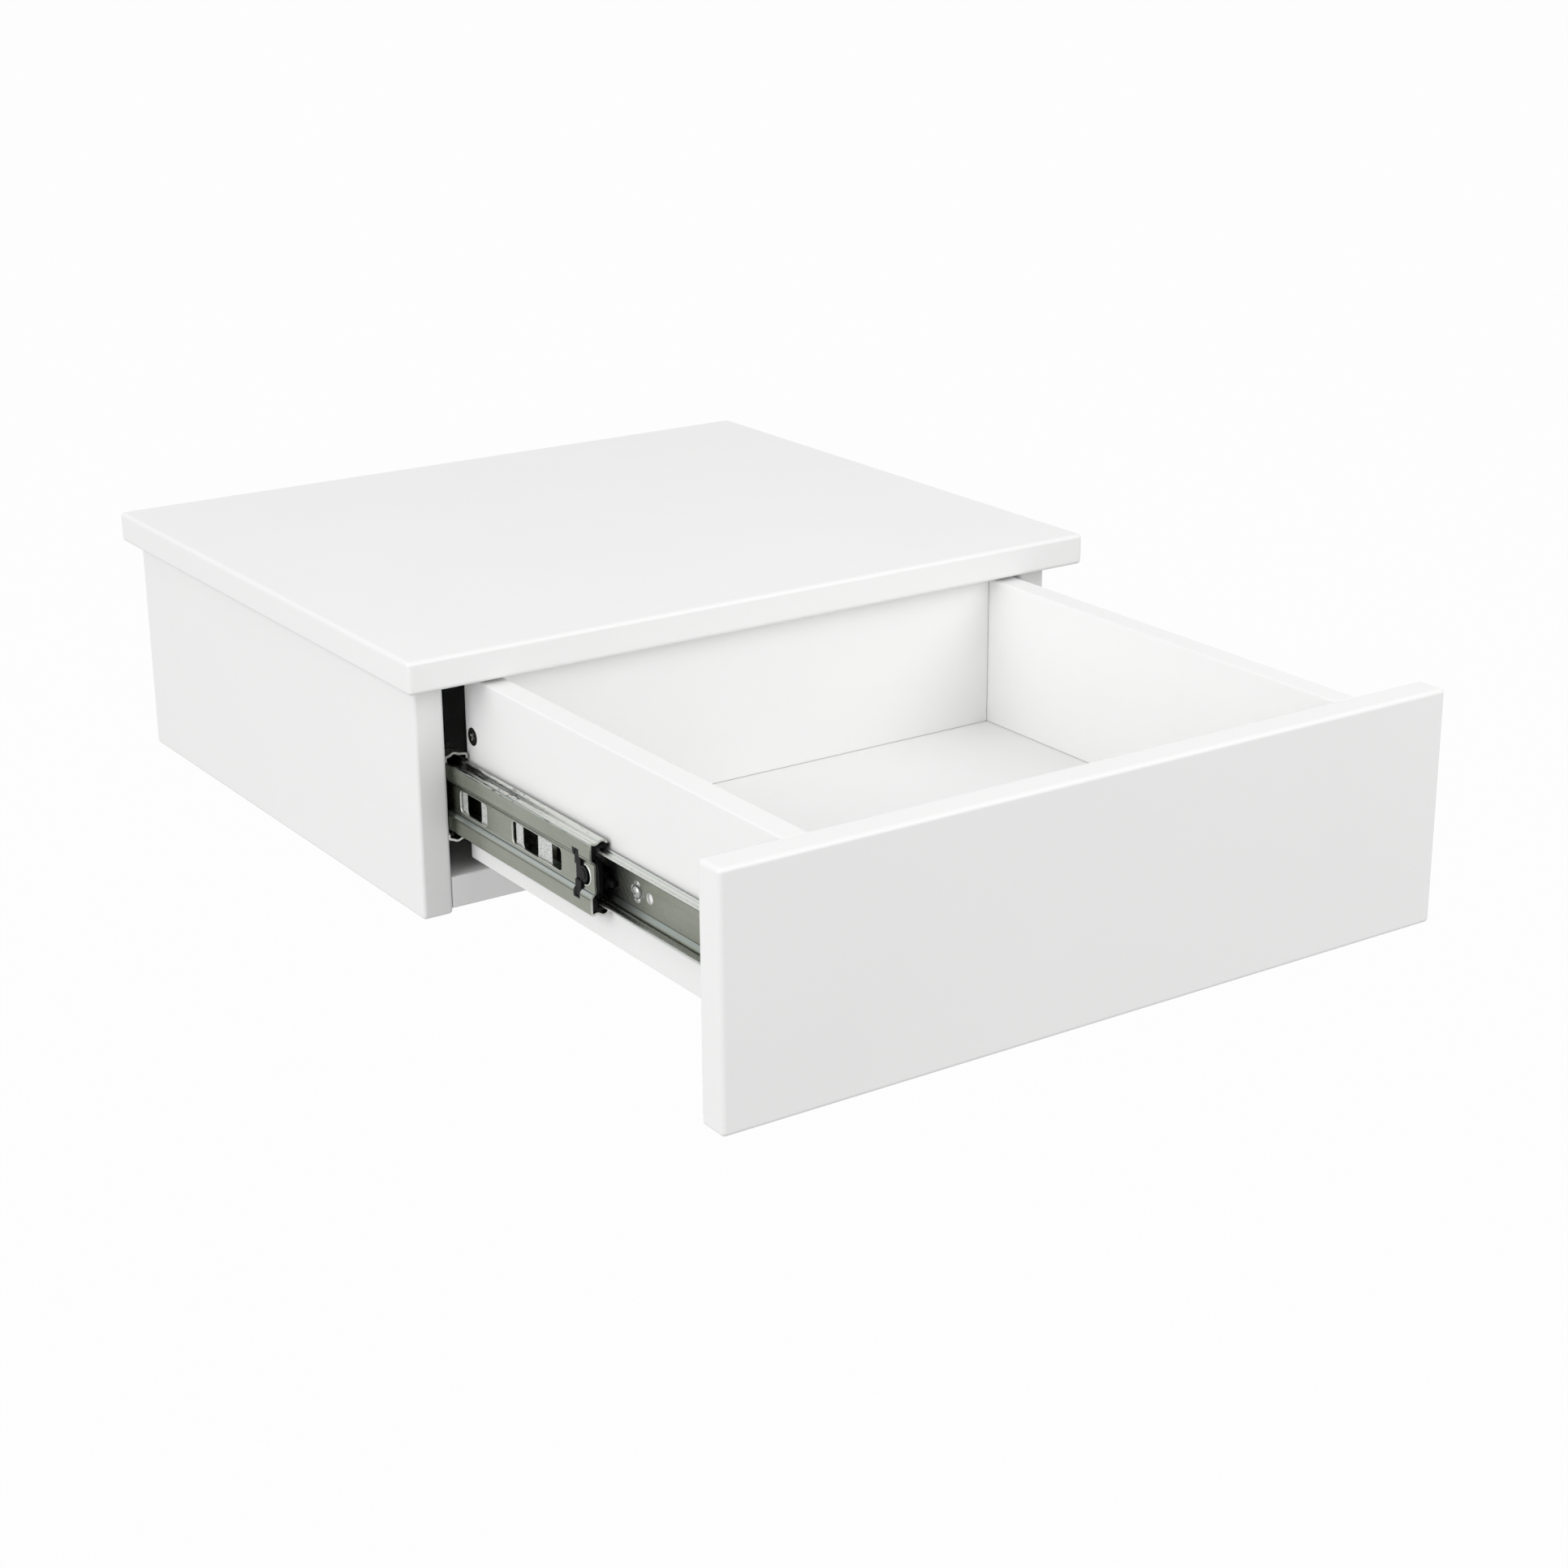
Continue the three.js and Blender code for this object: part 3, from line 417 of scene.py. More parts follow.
back_panel = board("back_panel", foil, foil_round)
back_low, back_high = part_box("back_panel")
cutters = [bore(f"{label}_{end}_back_dowel", (side, 0, 0)) for side, label in sides
           for end in ("upper", "lower")]
for side, label in sides:
    face = Matrix.Translation((side * wall_hole_aside, back_low.y, wall_hole_height))
    into_wall = face @ Matrix.Rotation(-pi / 2, 4, "X")
    hole = rod(wall_hole_radius, -wall_hole_past, back_high.y - back_low.y + wall_hole_past)
    rod(wall_sink_radius + wall_sink_depth, -wall_sink_depth, wall_sink_depth,
        end_radius=wall_hole_radius, bm=hole)
    cutters.append(formed(f"{label}_wall_hole", moved(hole, into_wall), fibreboard))
fitted(cut(back_panel, cutters), "cabinet", "back_panel")

# Cam fittings draw the side panels up to the top panel and the drawer sides up to the front.
# The cam is a die-cast zinc drum with a cross recess, and the bolt is turned, plated steel.
diecast = Finish("die_cast_zinc", {"Metallic": 0.9})
pits = diecast.cloud(0.5 * mm, 4)
diecast.feed(diecast.shader, {
    "Base Color": diecast.blend(diecast.cloud(3 * mm, 3), (0.3, 0.3, 0.29, 1), (0.47, 0.47, 0.455, 1)),
    "Roughness": 0.42 + 0.2 * pits,
})
diecast.relief(pits, 0.08 * mm)

nickel = Finish("dark_nickel_plate", {"Metallic": 1.0})
turning = nickel.cloud(0.6 * mm, 3)
nickel.feed(nickel.shader, {
    "Base Color": nickel.blend(turning, (0.2, 0.19, 0.18, 1), (0.36, 0.35, 0.33, 1)),
    "Roughness": 0.16 + 0.16 * turning,
})
nickel.relief(turning, 0.02 * mm)
same_point = 0.002 * mm


def folded(start, moves):
    """A line in X and Z from its start: (x, z) runs straight, (x, z, angle, steps) bends round a centre."""
    bm = bmesh.new()
    tip = bmesh.ops.create_vert(bm, co=(start[0], 0, start[1]))["vert"][0]
    for move in moves:
        if len(move) == 2:
            tip = bmesh.ops.extrude_vert_indiv(bm, verts=[tip])["verts"][0]
            tip.co = (move[0], 0, move[1])
        else:
            x, z, angle, steps = move
            bend = bmesh.ops.spin(bm, geom=[tip], cent=(x, 0, z), axis=(0, 1, 0), angle=angle, steps=steps)
            tip = bend["geom_last"][0]
    return bm


def turned(start, moves, segments=36):
    """A shape turned round Z from the line of its outer half."""
    bm = folded(start, moves)
    bmesh.ops.spin(bm, geom=bm.verts[:] + bm.edges[:], cent=(0, 0, 0), axis=(0, 0, 1), angle=2 * pi,
                   steps=segments, use_merge=True)
    bmesh.ops.remove_doubles(bm, verts=bm.verts, dist=same_point)
    bmesh.ops.recalc_face_normals(bm, faces=bm.faces)
    return bm


def cross_cutters(reach, width, depth, top, finish):
    """Two tapered blades that sink a cross recess from a height of top."""
    blades = []
    for length, breadth in ((reach, width / 2), (width / 2, reach)):
        bm = block((-length, -breadth, top - depth), (length, breadth, top + depth))
        tips = [v for v in bm.verts if v.co.z < top]
        bmesh.ops.scale(bm, verts=tips, vec=(0.5, 0.5, 1))
        blades.append(formed("cross_blade", bm, finish))
    return blades


def put(pattern, name, place):
    """A copy of a pattern at a place, turned the right way out again if the place mirrors it."""
    bm = bmesh.new()
    bm.from_mesh(pattern.data)
    moved(bm, place)
    if place.determinant() < 0:
        bmesh.ops.reverse_faces(bm, faces=bm.faces)
    mesh = pattern.data.copy()
    bm.to_mesh(mesh)
    bm.free()
    made = bpy.data.objects.new(name, mesh)
    bpy.context.scene.collection.objects.link(made)
    return made


def cam_drum(radius, depth, bolt_radius):
    rim = 0.4 * mm
    cross_width = 1.3 * mm
    cross_depth = 2 * mm
    drum = formed("cam_drum", turned((0, -depth), [
        (radius - rim, -depth), (radius, rim - depth), (radius, -1.6 * rim), (radius - rim / 2, -rim),
        (radius + rim / 2, -rim / 2), (radius - rim / 2, 0), (0, 0),
    ]), diecast)
    mouth = formed("cam_mouth", block((-radius - rim, -bolt_radius, -depth / 2 - bolt_radius),
                                      (bolt_radius, bolt_radius, -depth / 2 + bolt_radius)), diecast)
    return cut(drum, [mouth] + cross_cutters(radius / 2, cross_width, cross_depth, 0, diecast))


def longest(node):
    low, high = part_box(node)
    return max(high - low)


def cam_bolt(node, radius, grip):
    """Threaded below nought on Z, smooth above it, with a neck under its round head."""
    length = longest(node) - grip
    root = 0.62 * radius
    crest = 0.8 * radius
    pitch = 1.5 * mm
    turns = int((grip - 2 * pitch) / pitch)
    thread = [(root, pitch - grip)]
    for number in range(turns):
        start = (number + 1) * pitch - grip
        thread += [(root, start + 0.3 * pitch), (crest, start + 0.5 * pitch), (root, start + 0.8 * pitch)]
    head = length - radius
    return formed("cam_bolt", turned((0, -grip), thread + [
        (root, 0), (radius, 0), (radius, head - radius), (0.6 * radius, head - radius), (0.6 * radius, head),
        (0.8 * radius, head), (radius, head + 0.2 * radius), (radius, length - 0.3 * radius),
        (0.7 * radius, length), (0, length),
    ], 24), nickel)


def set_cam(cam, bolt, node, body, place, bolt_out, grip):
    """Puts a cam in its place and its bolt into the board that the cam draws up."""
    fitted(put(cam, node + "_drum", place), body, node)
    bolt_node = node + "_bolt"
    bolt_place = seat(bolt_node, bolt_out) @ Matrix.Translation((0, 0, grip - longest(bolt_node)))
    fitted(put(bolt, node + "_turned_bolt", bolt_place), body, bolt_node)


top_cam_radius = 7.4 * mm
top_cam_depth = 12 * mm
top_cam_mouth = 3.3 * mm
top_bolt_radius = 3 * mm
top_grip = 11 * mm
top_cam = cam_drum(top_cam_radius, top_cam_depth, top_cam_mouth)
top_bolt = cam_bolt("left_front_top_cam_bolt", top_bolt_radius, top_grip)
for side, label in sides:
    for end in ends:
        node = f"{label}_{end}_top_cam"
        mouth_up = side * pi / 2
        place = seat(node, (-side, 0, 0), mouth_up)
        set_cam(top_cam, top_bolt, node, "cabinet", place, (0, 0, -1), top_grip)
for pattern in (top_cam, top_bolt):
    bpy.data.objects.remove(pattern)

# Beech dowels hold the bottom and back panels between the side panels. They are fluted, so
# that glue can rise along them, and chamfered at both ends.
beech = Finish("beech", {"Roughness": 0.7})
wood_grain = beech.cloud(1.2 * mm, 5, (0.12, 1, 1))
beech.feed(beech.shader, {
    "Base Color": beech.blend(wood_grain, (0.42, 0.27, 0.14, 1), (0.68, 0.5, 0.31, 1)),
})
beech.relief(wood_grain, 0.1 * mm)
dowel_radius = 4 * mm
dowel_length = 30 * mm
dowel_chamfer = 1 * mm
flutes = 16
valley_share = 0.93


def rims(bm):
    """The edges round the two ends of a rod along Z."""
    return [e for e in bm.edges if abs(e.verts[0].co.z - e.verts[1].co.z) < mm]


bm = rod(dowel_radius, -dowel_length, 0, 4 * flutes)
rounded(bm, rims(bm), dowel_chamfer, 1)
for edge in bm.edges:
    start, end = edge.verts
    lengthwise = abs(start.co.z - end.co.z) > dowel_length / 2
    if lengthwise and cos(flutes * start.co.xy.angle_signed(Vector((1, 0)))) < -0.5:
        start.co.xy *= valley_share
        end.co.xy *= valley_share
dowel = formed("dowel", bm, beech)
for side, label in sides:
    for end in ("front_bottom", "rear_bottom", "upper_back", "lower_back"):
        node = f"{label}_{end}_dowel"
        fitted(put(dowel, node + "_fluted", seat(node, (-side, 0, 0))), "cabinet", node)
bpy.data.objects.remove(dowel)

# The drawer is a box of four foil-covered boards with a thin floor slid into grooves. The
# lacquered front covers the whole opening.
groove_play = 0.2 * mm
groove_past = 100 * mm
floor_round = 0.3 * mm
box_pilot = 1.5 * mm
slide_pilot = 1.3 * mm
box_screw_head = 4.2 * mm
cone_tip = 0.0005 * mm
floor_low, floor_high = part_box("drawer_floor")


def groove(past=0.0):
    """The room that the floor takes in the boards round it."""
    room = Vector((groove_play, groove_play + past, groove_play))
    return formed("groove", block(floor_low - room, floor_high + room), fibreboard)


def countersink(node, out, head_radius):
    """A cone that widens as fast as it rises, as wide as a screw's head at the face."""
    bm = rod(cone_tip, -head_radius, head_radius, end_radius=2 * head_radius)
    return formed(node + "_sink", moved(bm, seat(node, out)), fibreboard)


drawer_front = board("drawer_front", lacquer, lacquer_round)
cutters = [groove()] + [bore(f"{label}_drawer_front_cam_bolt", (0, 1, 0)) for _, label in sides]
fitted(cut(drawer_front, cutters), "drawer", "drawer_front")

for side, label in sides:
    panel = board(f"drawer_{label}_side", foil, foil_round)
    cutters = [groove(groove_past), bore(f"{label}_drawer_front_cam", (-side, 0, 0)),
               bore(f"{label}_drawer_front_cam_bolt", (0, -1, 0))]
    for end in ("upper", "lower"):
        node = f"{label}_{end}_drawer_back_screw"
        cutters += [bore(node, (side, 0, 0), box_pilot), countersink(node, (side, 0, 0), box_screw_head)]
    cutters += [bore(f"{label}_{end}_drawer_slide_screw", (side, 0, 0), slide_pilot)
                for end in ("front", "middle", "rear")]
    fitted(cut(panel, cutters), "drawer", f"drawer_{label}_side")

box_screws = [(side, f"{label}_{end}_drawer_back_screw") for side, label in sides
              for end in ("upper", "lower")]
drawer_back = board("drawer_back", foil, foil_round)
cutters = [groove()] + [bore(node, (side, 0, 0), box_pilot) for side, node in box_screws]
fitted(cut(drawer_back, cutters), "drawer", "drawer_back")

fitted(board("drawer_floor", foil, floor_round), "drawer", "drawer_floor")

front_cam_radius = 5.9 * mm
front_cam_depth = 9.2 * mm
front_cam_mouth = 2.7 * mm
front_bolt_radius = 2.4 * mm
front_grip = 10 * mm
front_cam = cam_drum(front_cam_radius, front_cam_depth, front_cam_mouth)
front_bolt = cam_bolt("left_drawer_front_cam_bolt", front_bolt_radius, front_grip)
for side, label in sides:
    node = f"{label}_drawer_front_cam"
    set_cam(front_cam, front_bolt, node, "drawer", seat(node, (-side, 0, 0)), (0, 1, 0), front_grip)
for pattern in (front_cam, front_bolt):
    bpy.data.objects.remove(pattern)

# Countersunk wood screws hold the drawer sides to the drawer back. Their heads are dark nickel, flush in the
# foil, and their cross recess, worn by the driver, is painted bright as a painted highlight.
worn_recess_with_highlight = Finish("worn_recess_with_highlight", {"Metallic": 1.0})
wear_and_highlight = worn_recess_with_highlight.cloud(0.5 * mm, 4)
# The bright colour of the recess is partly wear and partly a painted highlight.
worn_recess_with_highlight.feed(worn_recess_with_highlight.shader, {
    "Base Color": worn_recess_with_highlight.blend(wear_and_highlight, (0.5, 0.5, 0.5, 1), (0.95, 0.95, 0.94, 1)),
    "Roughness": 0.2 + 0.2 * wear_and_highlight,
})
worn_recess_with_highlight.relief(wear_and_highlight, 0.03 * mm)


def sunk_screw(head, depth, shank, length):
    """A wood screw: the radius and depth of its head, the radius of its shank, and its length."""
    rim = 0.35 * mm
    edge_drop, edge_in = 0.08 * mm, 0.12 * mm
    pitch = 1.6 * mm
    cross_width, cross_depth = 1.15 * mm, 1.8 * mm
    root = 0.68 * shank
    thread = []
    for number in range(int((0.62 * length - 2 * shank) / pitch)):
        start = 2 * shank - length + number * pitch
        thread += [(root, start), (root, start + 0.55 * pitch), (shank, start + 0.78 * pitch)]
    outline = [(0.3 * shank, 0.6 * shank - length)] + thread + [
        (0.75 * shank, -0.38 * length), (shank, -depth), (head, -rim), (head, -edge_drop),
        (head - edge_in, 0), (0, 0),
    ]
    screw = formed("sunk_screw", turned((0, -length), outline, 32), nickel)
    return cut(screw, cross_cutters(0.62 * head, cross_width, cross_depth, 0, worn_recess_with_highlight))


box_screw = sunk_screw(head=box_screw_head, depth=2.6 * mm, shank=1.75 * mm, length=35 * mm)
twist = 0.35
for side, node in box_screws:
    twist += 0.9
    fitted(put(box_screw, node + "_turned", seat(node, (side, 0, 0), twist)), "drawer", node)
bpy.data.objects.remove(box_screw)

# The slides are folded from zinc-plated steel strip, three members to a side. The outer one
# is screwed to the cabinet and is a plain channel with a ball race along each flange.
inside_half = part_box("right_side_panel")[0].x
member_low, member_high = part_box("left_slide_cabinet_member")
slide_z = (member_low.z + member_high.z) / 2
slide_length = member_high.y - member_low.y
strip = 1 * mm
ball_radius = 2 * mm
race_radius = 2.65 * mm
race_turn = radians(40)
race_across = race_radius * sin(race_turn)
race_rise = race_radius * cos(race_turn)
outer_row = Vector((4.8 * mm, 17.85 * mm))
inner_row = outer_row + 2 * Vector((race_across, -race_rise))
bend_radius = 1 * mm
cut_edge_width = 0.14 * mm
cut_edge_angle = radians(50)
crease_half = 0.12 * mm
crease_fade = 0.2 * mm


def rolled_steel(name, creases, slope_reflection_tone, crests=None, grime_and_shade=None, grime_and_shade_tone=None):
    """Zinc-plated strip. Its upright faces are a dull green; faces that look up at a slant carry a painted
    bluish reflection, faces that look straight up a painted highlight, and faces that look down painted
    shade. Dark lines of painted shade lie at the heights of its creases. Crests are raised, and grease with
    painted shade darkens it."""
    steel = Finish(name, {"Metallic": 1.0})
    streaks = steel.cloud(1.6 * mm, 3, (1, 0.03, 1))
    patches = steel.cloud(12 * mm, 4)
    looks_up = steel.add("SeparateXYZ", {}, {0: steel.add("TexCoord", {}, {}, out="Normal")}, out=2)
    upright = steel.blend(patches, (0.22, 0.23, 0.17, 1), (0.31, 0.33, 0.295, 1))
    streaked = steel.blend(0.5 * streaks, upright, (0.36, 0.37, 0.32, 1))
    # Painted light: faces that look up at a slant get a painted bluish reflection, faces that look straight
    # up a painted highlight, and faces that look down painted shade.
    sloped_reflection = steel.blend(looks_up.rising(0.2, 0.65), streaked, slope_reflection_tone)
    top_highlight = steel.blend(looks_up.rising(0.72, 0.97), sloped_reflection, (0.74, 0.75, 0.71, 1))
    shade = steel.blend((0 - looks_up).rising(0.25, 0.8), top_highlight, (0.12, 0.125, 0.11, 1))
    height = abs(steel.along(2) - slide_z)
    # Dark lines of painted shade along the creases, where the bends lie in shade.
    for crease in creases:
        line = height.within(crease - crease_half, crease + crease_half, crease_fade)
        shade = steel.blend(0.75 * line, shade, (0.03, 0.032, 0.028, 1))
    # Grease and dirt, together with painted shade, darken the colour here.
    if grime_and_shade:
        shade = steel.blend(grime_and_shade(steel), shade, grime_and_shade_tone)
    relief = 0.12 * streaks
    if crests:
        relief = relief + crests(steel)
    steel.feed(steel.shader, {"Base Color": shade, "Roughness": 0.2 + 0.14 * patches})
    steel.relief(relief, 0.06 * mm)
    return steel


cut_steel = Finish("cut_steel", {"Metallic": 1.0})
shear = cut_steel.cloud(0.8 * mm, 3)
cut_steel.feed(cut_steel.shader, {
    "Base Color": cut_steel.blend(shear, (0.46, 0.47, 0.44, 1), (0.78, 0.79, 0.76, 1)),
    "Roughness": 0.3 + 0.2 * shear,
})
cut_steel.relief(shear, 0.04 * mm)


def folded_strip(name, start, moves, length, thickness, finish, corners=(), corner_radius=0.0):
    """A strip folded to the line of its upper half, the same below, and drawn out along Y."""
    bm = folded(start, moves)
    for x, z in corners:
        near = min(bm.verts, key=lambda v: (v.co - Vector((x, 0, z))).length)
        bmesh.ops.bevel(bm, geom=[near], offset=corner_radius, segments=4, profile=0.5,
                        affect="VERTICES", material=-1)
    bmesh.ops.mirror(bm, geom=bm.verts[:] + bm.edges[:], matrix=Matrix.Identity(4), merge_dist=same_point,
                     axis="Z")
    drawn = bmesh.ops.extrude_edge_only(bm, edges=bm.edges[:])["geom"]
    far_end = [part for part in drawn if isinstance(part, bmesh.types.BMVert)]
    bmesh.ops.translate(bm, verts=far_end, vec=(0, length, 0))
    bmesh.ops.recalc_face_normals(bm, faces=bm.faces)
    made = formed(name, bm, finish)
    made.data.materials.append(cut_steel.material)
    solid = made.modifiers.new("thickness", "SOLIDIFY")
    solid.thickness = thickness
    solid.offset = 0
    solid.use_even_offset = True
    solid.material_offset_rim = 1
    return finished(made)


def eased(made, width=cut_edge_width, where=lambda middle: True):
    """Rounds the cut edges, or those of them whose middle lies in a given part of the piece."""
    bm = bmesh.new()
    bm.from_mesh(made.data)
    sharp = [e for e in bm.edges if e.calc_face_angle(0) > cut_edge_angle]
    edges = [e for e in sharp if where((e.verts[0].co + e.verts[1].co) / 2)]
    bmesh.ops.bevel(bm, geom=edges, offset=width, segments=3, profile=0.5, affect="EDGES",
                    clamp_overlap=True, material=1)
    bm.to_mesh(made.data)
    bm.free()
    return made


def opening(low, high, radius):
    """A cutter across the strip: corners are (u, along, v), rounded as seen from the side."""
    bm = block(low, high)
    if radius:
        rounded(bm, crosswise(bm), radius, 5)
    return formed("opening", bm, cut_steel)


def across(bm, u, along, v):
    """Lays a shape made along Z across the slide, at a place."""
    return moved(bm, Matrix.Translation((u, along, v)) @ Matrix.Rotation(pi / 2, 4, "Y"))


def round_opening(u, along, radius):
    """A round cutter across the strip, long enough for any of its folds."""
    reach = 4 * mm
    return formed("round_opening", across(rod(radius, -reach, reach, 36), u, along, 0), cut_steel)


def slide_place(side, front):
    """From (u, along, v), measured from the side panel and a front end, to the slide on one side."""
    return Matrix.Translation((side * inside_half, front, slide_z)) @ Matrix.Diagonal((-side, 1, 1, 1))


def hang(pattern, piece, front, body):
    """Puts one copy of a pattern on each slide; the body may be a different one on each side."""
    for side, label in sides:
        node = f"{label}_slide_{piece}"
        made = put(pattern, node + "_shape", slide_place(side, front))
        fitted(made, body.format(label), node)
    bpy.data.objects.remove(pattern)


cabinet_web = 0.6 * mm
cabinet_lip = 10 * mm
cabinet_lip_drop = 1.3 * mm
cabinet_bend = outer_row.y + race_rise - strip / 2 - bend_radius
cabinet_hole_radius = 3.6 * mm
web_setback = 3 * mm
web_setback_half = 17 * mm
web_setback_corner = 1.5 * mm
# The colour given here is the painted reflection on the faces that look up at a slant.
cabinet_steel = rolled_steel("cabinet_member_steel", (), (0.44, 0.47, 0.44, 1))
member = folded_strip("cabinet_member", (cabinet_web, 0), [
    (cabinet_web, cabinet_bend),
    (cabinet_web + bend_radius, cabinet_bend, pi / 2, 4),
    (outer_row.x - race_across, outer_row.y + race_rise),
    (outer_row.x, outer_row.y, 2 * race_turn, 8),
    (cabinet_lip, cabinet_bend + bend_radius),
    (cabinet_lip, cabinet_bend, pi / 2, 4),
    (cabinet_lip + bend_radius, cabinet_bend - cabinet_lip_drop),
], slide_length, strip, cabinet_steel)
cutters = []
for end in ends:
    low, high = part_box(f"left_{end}_cabinet_slide_screw")
    cutters.append(round_opening(cabinet_web, (low.y + high.y) / 2 - member_low.y, cabinet_hole_radius))
cutters.append(opening((-strip, -strip, -web_setback_half), (2 * strip, web_setback, web_setback_half),
                       web_setback_corner))
hang(eased(cut(member, cutters)), "cabinet_member", member_low.y, "cabinet")

# The middle member runs on balls inside the outer one. Its web is sunk between two bands,
# with rolled ridges along the lower step, two windows, and a keyed opening for the clip.
band_u = 2.5 * mm
web_u = 4.5 * mm
web_half = 6.3 * mm
step_height = 1.8 * mm
step_top = web_half + step_height
step_corner = 0.7 * mm
shoulder_radius = 0.75 * mm
lip_edge = 0.65 * mm
lip_drop = 0.95 * mm
window_half = 5.1 * mm
window_corner = 2 * mm
window_lip = 0.26 * mm
windows = ((27 * mm, 69 * mm), (91.5 * mm, 116 * mm))
through_low = -3 * mm
through_high = 6.35 * mm
clip_slot = (7.4 * mm, 14.6 * mm, 5.4 * mm, 0.4 * mm)
tab_slot = (8.8 * mm, 14.3 * mm, 11 * mm, 0.5 * mm)
key_hole_along = 7.3 * mm
key_hole_radius = 4.3 * mm
key_rim_tube = 0.45 * mm
key_rim_centre = key_hole_radius + 0.35 * mm
key_rim_sink = 0.1 * mm
key_rim_room = 0.3 * mm
windows_from = 20 * mm
middle_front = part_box("left_slide_middle_member")[0].y
ridges_coarser = (-0.332, -0.308)
flecked = (-0.357, -0.341)
fleck_fade = 0.003
# The stretch along Y over which the top of the middle member is painted darker towards the rear, as painted
# shade.
shaded_rearward = (-0.345, -0.303)
greased_and_shaded_height = (14.6 * mm, 15.6 * mm)


def step_ridges(steel):
    """Fine ridges across the lower step of the middle member."""
    height = steel.along(2) - slide_z
    on_step = height.within(-step_top - 0.4 * mm, -web_half, 0.3 * mm)
    rearward = steel.along(1).rising(*ridges_coarser)
    return steel.along(1).wave(0.8 * mm) * on_step * (0.35 + 1.6 * rearward)


def middle_grease_and_shade(steel):
    """Grease along the top of the middle member, darkening towards its rear as painted shade, and painted
    shade between the ridges of its lower step.
    """
    along_rail = steel.along(1)
    specks = steel.cloud(0.7 * mm, 6, (1, 0.22, 1)).rising(0.56, 0.61)
    specks = specks * along_rail.within(*flecked, fleck_fade)
    # The smear is grease, made darker towards the rear as painted shade.
    smear_and_shade = steel.cloud(0.5 * mm, 3, (1, 0.05, 1)) + 0.3 * along_rail.rising(*shaded_rearward)
    on_top = (steel.along(2) - slide_z).rising(*greased_and_shaded_height)
    greased_and_shaded = 0.9 * on_top * (specks + smear_and_shade.rising(0.6, 0.75))
    # Painted shade between the ridges of the lower step, deepest towards the rear.
    return greased_and_shaded + 0.8 * step_ridges(steel).rising(0.5, 1.9)


# The third colour is the painted reflection on slanted faces; the last is the grease and painted shade.
middle_steel = rolled_steel("middle_member_steel", (6.5 * mm, 8.8 * mm), (0.42, 0.46, 0.44, 1),
                            step_ridges, middle_grease_and_shade, (0.02, 0.02, 0.018, 1))
lean_across = outer_row.x - band_u - shoulder_radius
lean_reach = race_radius + shoulder_radius
lean_angle = asin(lean_across / lean_reach)
shoulder_v = outer_row.y - sqrt(lean_reach ** 2 - lean_across ** 2)
lip_u = inner_row.x + race_across + strip / 2
lip_v = inner_row.y + race_rise
member = folded_strip("middle_member", (web_u, 0), [
    (web_u, web_half),
    (band_u, step_top),
    (band_u, shoulder_v),
    (band_u + shoulder_radius, shoulder_v, pi / 2 + lean_angle, 6),
    (outer_row.x, outer_row.y, -(lean_angle + race_turn), 8),
    (inner_row.x, inner_row.y, 2 * race_turn, 8),
    (lip_u, lip_v - lip_edge),
    (lip_u, lip_v - lip_drop),
], slide_length, strip, middle_steel, ((web_u, web_half), (band_u, step_top)), step_corner)
key_rim = turned((key_rim_centre - key_rim_tube, 0), [(key_rim_centre, 0, 2 * pi, 12)], 48)
across(key_rim, web_u - strip / 2 + key_rim_sink, key_hole_along, 0)
combined(member, [formed("key_rim", key_rim, cut_steel)], "UNION")
cutters = [opening((through_low, start, -half), (through_high, end, half), corner)
           for start, end, half, corner in (
               *((start, end, window_half, window_corner) for start, end in windows), clip_slot, tab_slot)]
cutters.append(round_opening(web_u, key_hole_along, key_hole_radius))
cut(member, cutters)


def in_window(middle):
    return windows_from < middle.y < slide_length - windows_from and abs(middle.z) < window_half + mm


def on_key_rim(middle):
    reach = Vector((middle.y - key_hole_along, middle.z)).length
    return reach < key_rim_centre + key_rim_tube + key_rim_room


eased(member, window_lip, in_window)
eased(member, where=lambda middle: not in_window(middle) and not on_key_rim(middle))
hang(member, "middle_member", middle_front, "{}_middle_slide")

# The inner member is screwed to the drawer side by pan-head screws in cross-shaped holes.
# Its web is knurled, and its flanges turn over into the inner ball races.
drawer_web = 12.1 * mm
drawer_web_half = 7.2 * mm
rim_step = 2.6 * mm
rim_corner = 0.5 * mm
rim_bend_radius = 0.6 * mm
rim_reach = race_radius + rim_bend_radius
rim_bend = inner_row + rim_reach * Vector((sin(race_turn), -cos(race_turn)))
rim_u = rim_bend.x + rim_bend_radius
lobe_long = 4.6 * mm
lobe_wide = 2.1 * mm
lobe_corner = 1.6 * mm
spare_hole = 94.4 * mm
spare_radius = 2.3 * mm
front_board_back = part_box("drawer_front")[1].y
drawer_member_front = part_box("left_slide_drawer_member")[0].y
# Where the drawer member is painted dark next to the clip: grease, painted shade and a painted reflection of
# the clip.
greased_and_shaded_along = (-0.43, -0.415)
greased_and_shaded_fade = 0.03


def web_knurl(steel):
    """Fine crossed grooves over the web of the drawer member, and finer ones across its steps."""
    height = abs(steel.along(2) - slide_z)
    on_web = 1 - height.rising(6.8 * mm, 7.2 * mm)
    slanted = steel.along(1) + 0.25 * steel.along(2)
    across_web = slanted.wave(0.75 * mm) * on_web
    along_web = steel.along(2).wave(0.9 * mm) * on_web
    fine = steel.along(1).wave(0.5 * mm) * height.within(7.4 * mm, 9.8 * mm, 0.2 * mm)
    return 0.9 * across_web + 0.6 * along_web + 0.6 * fine


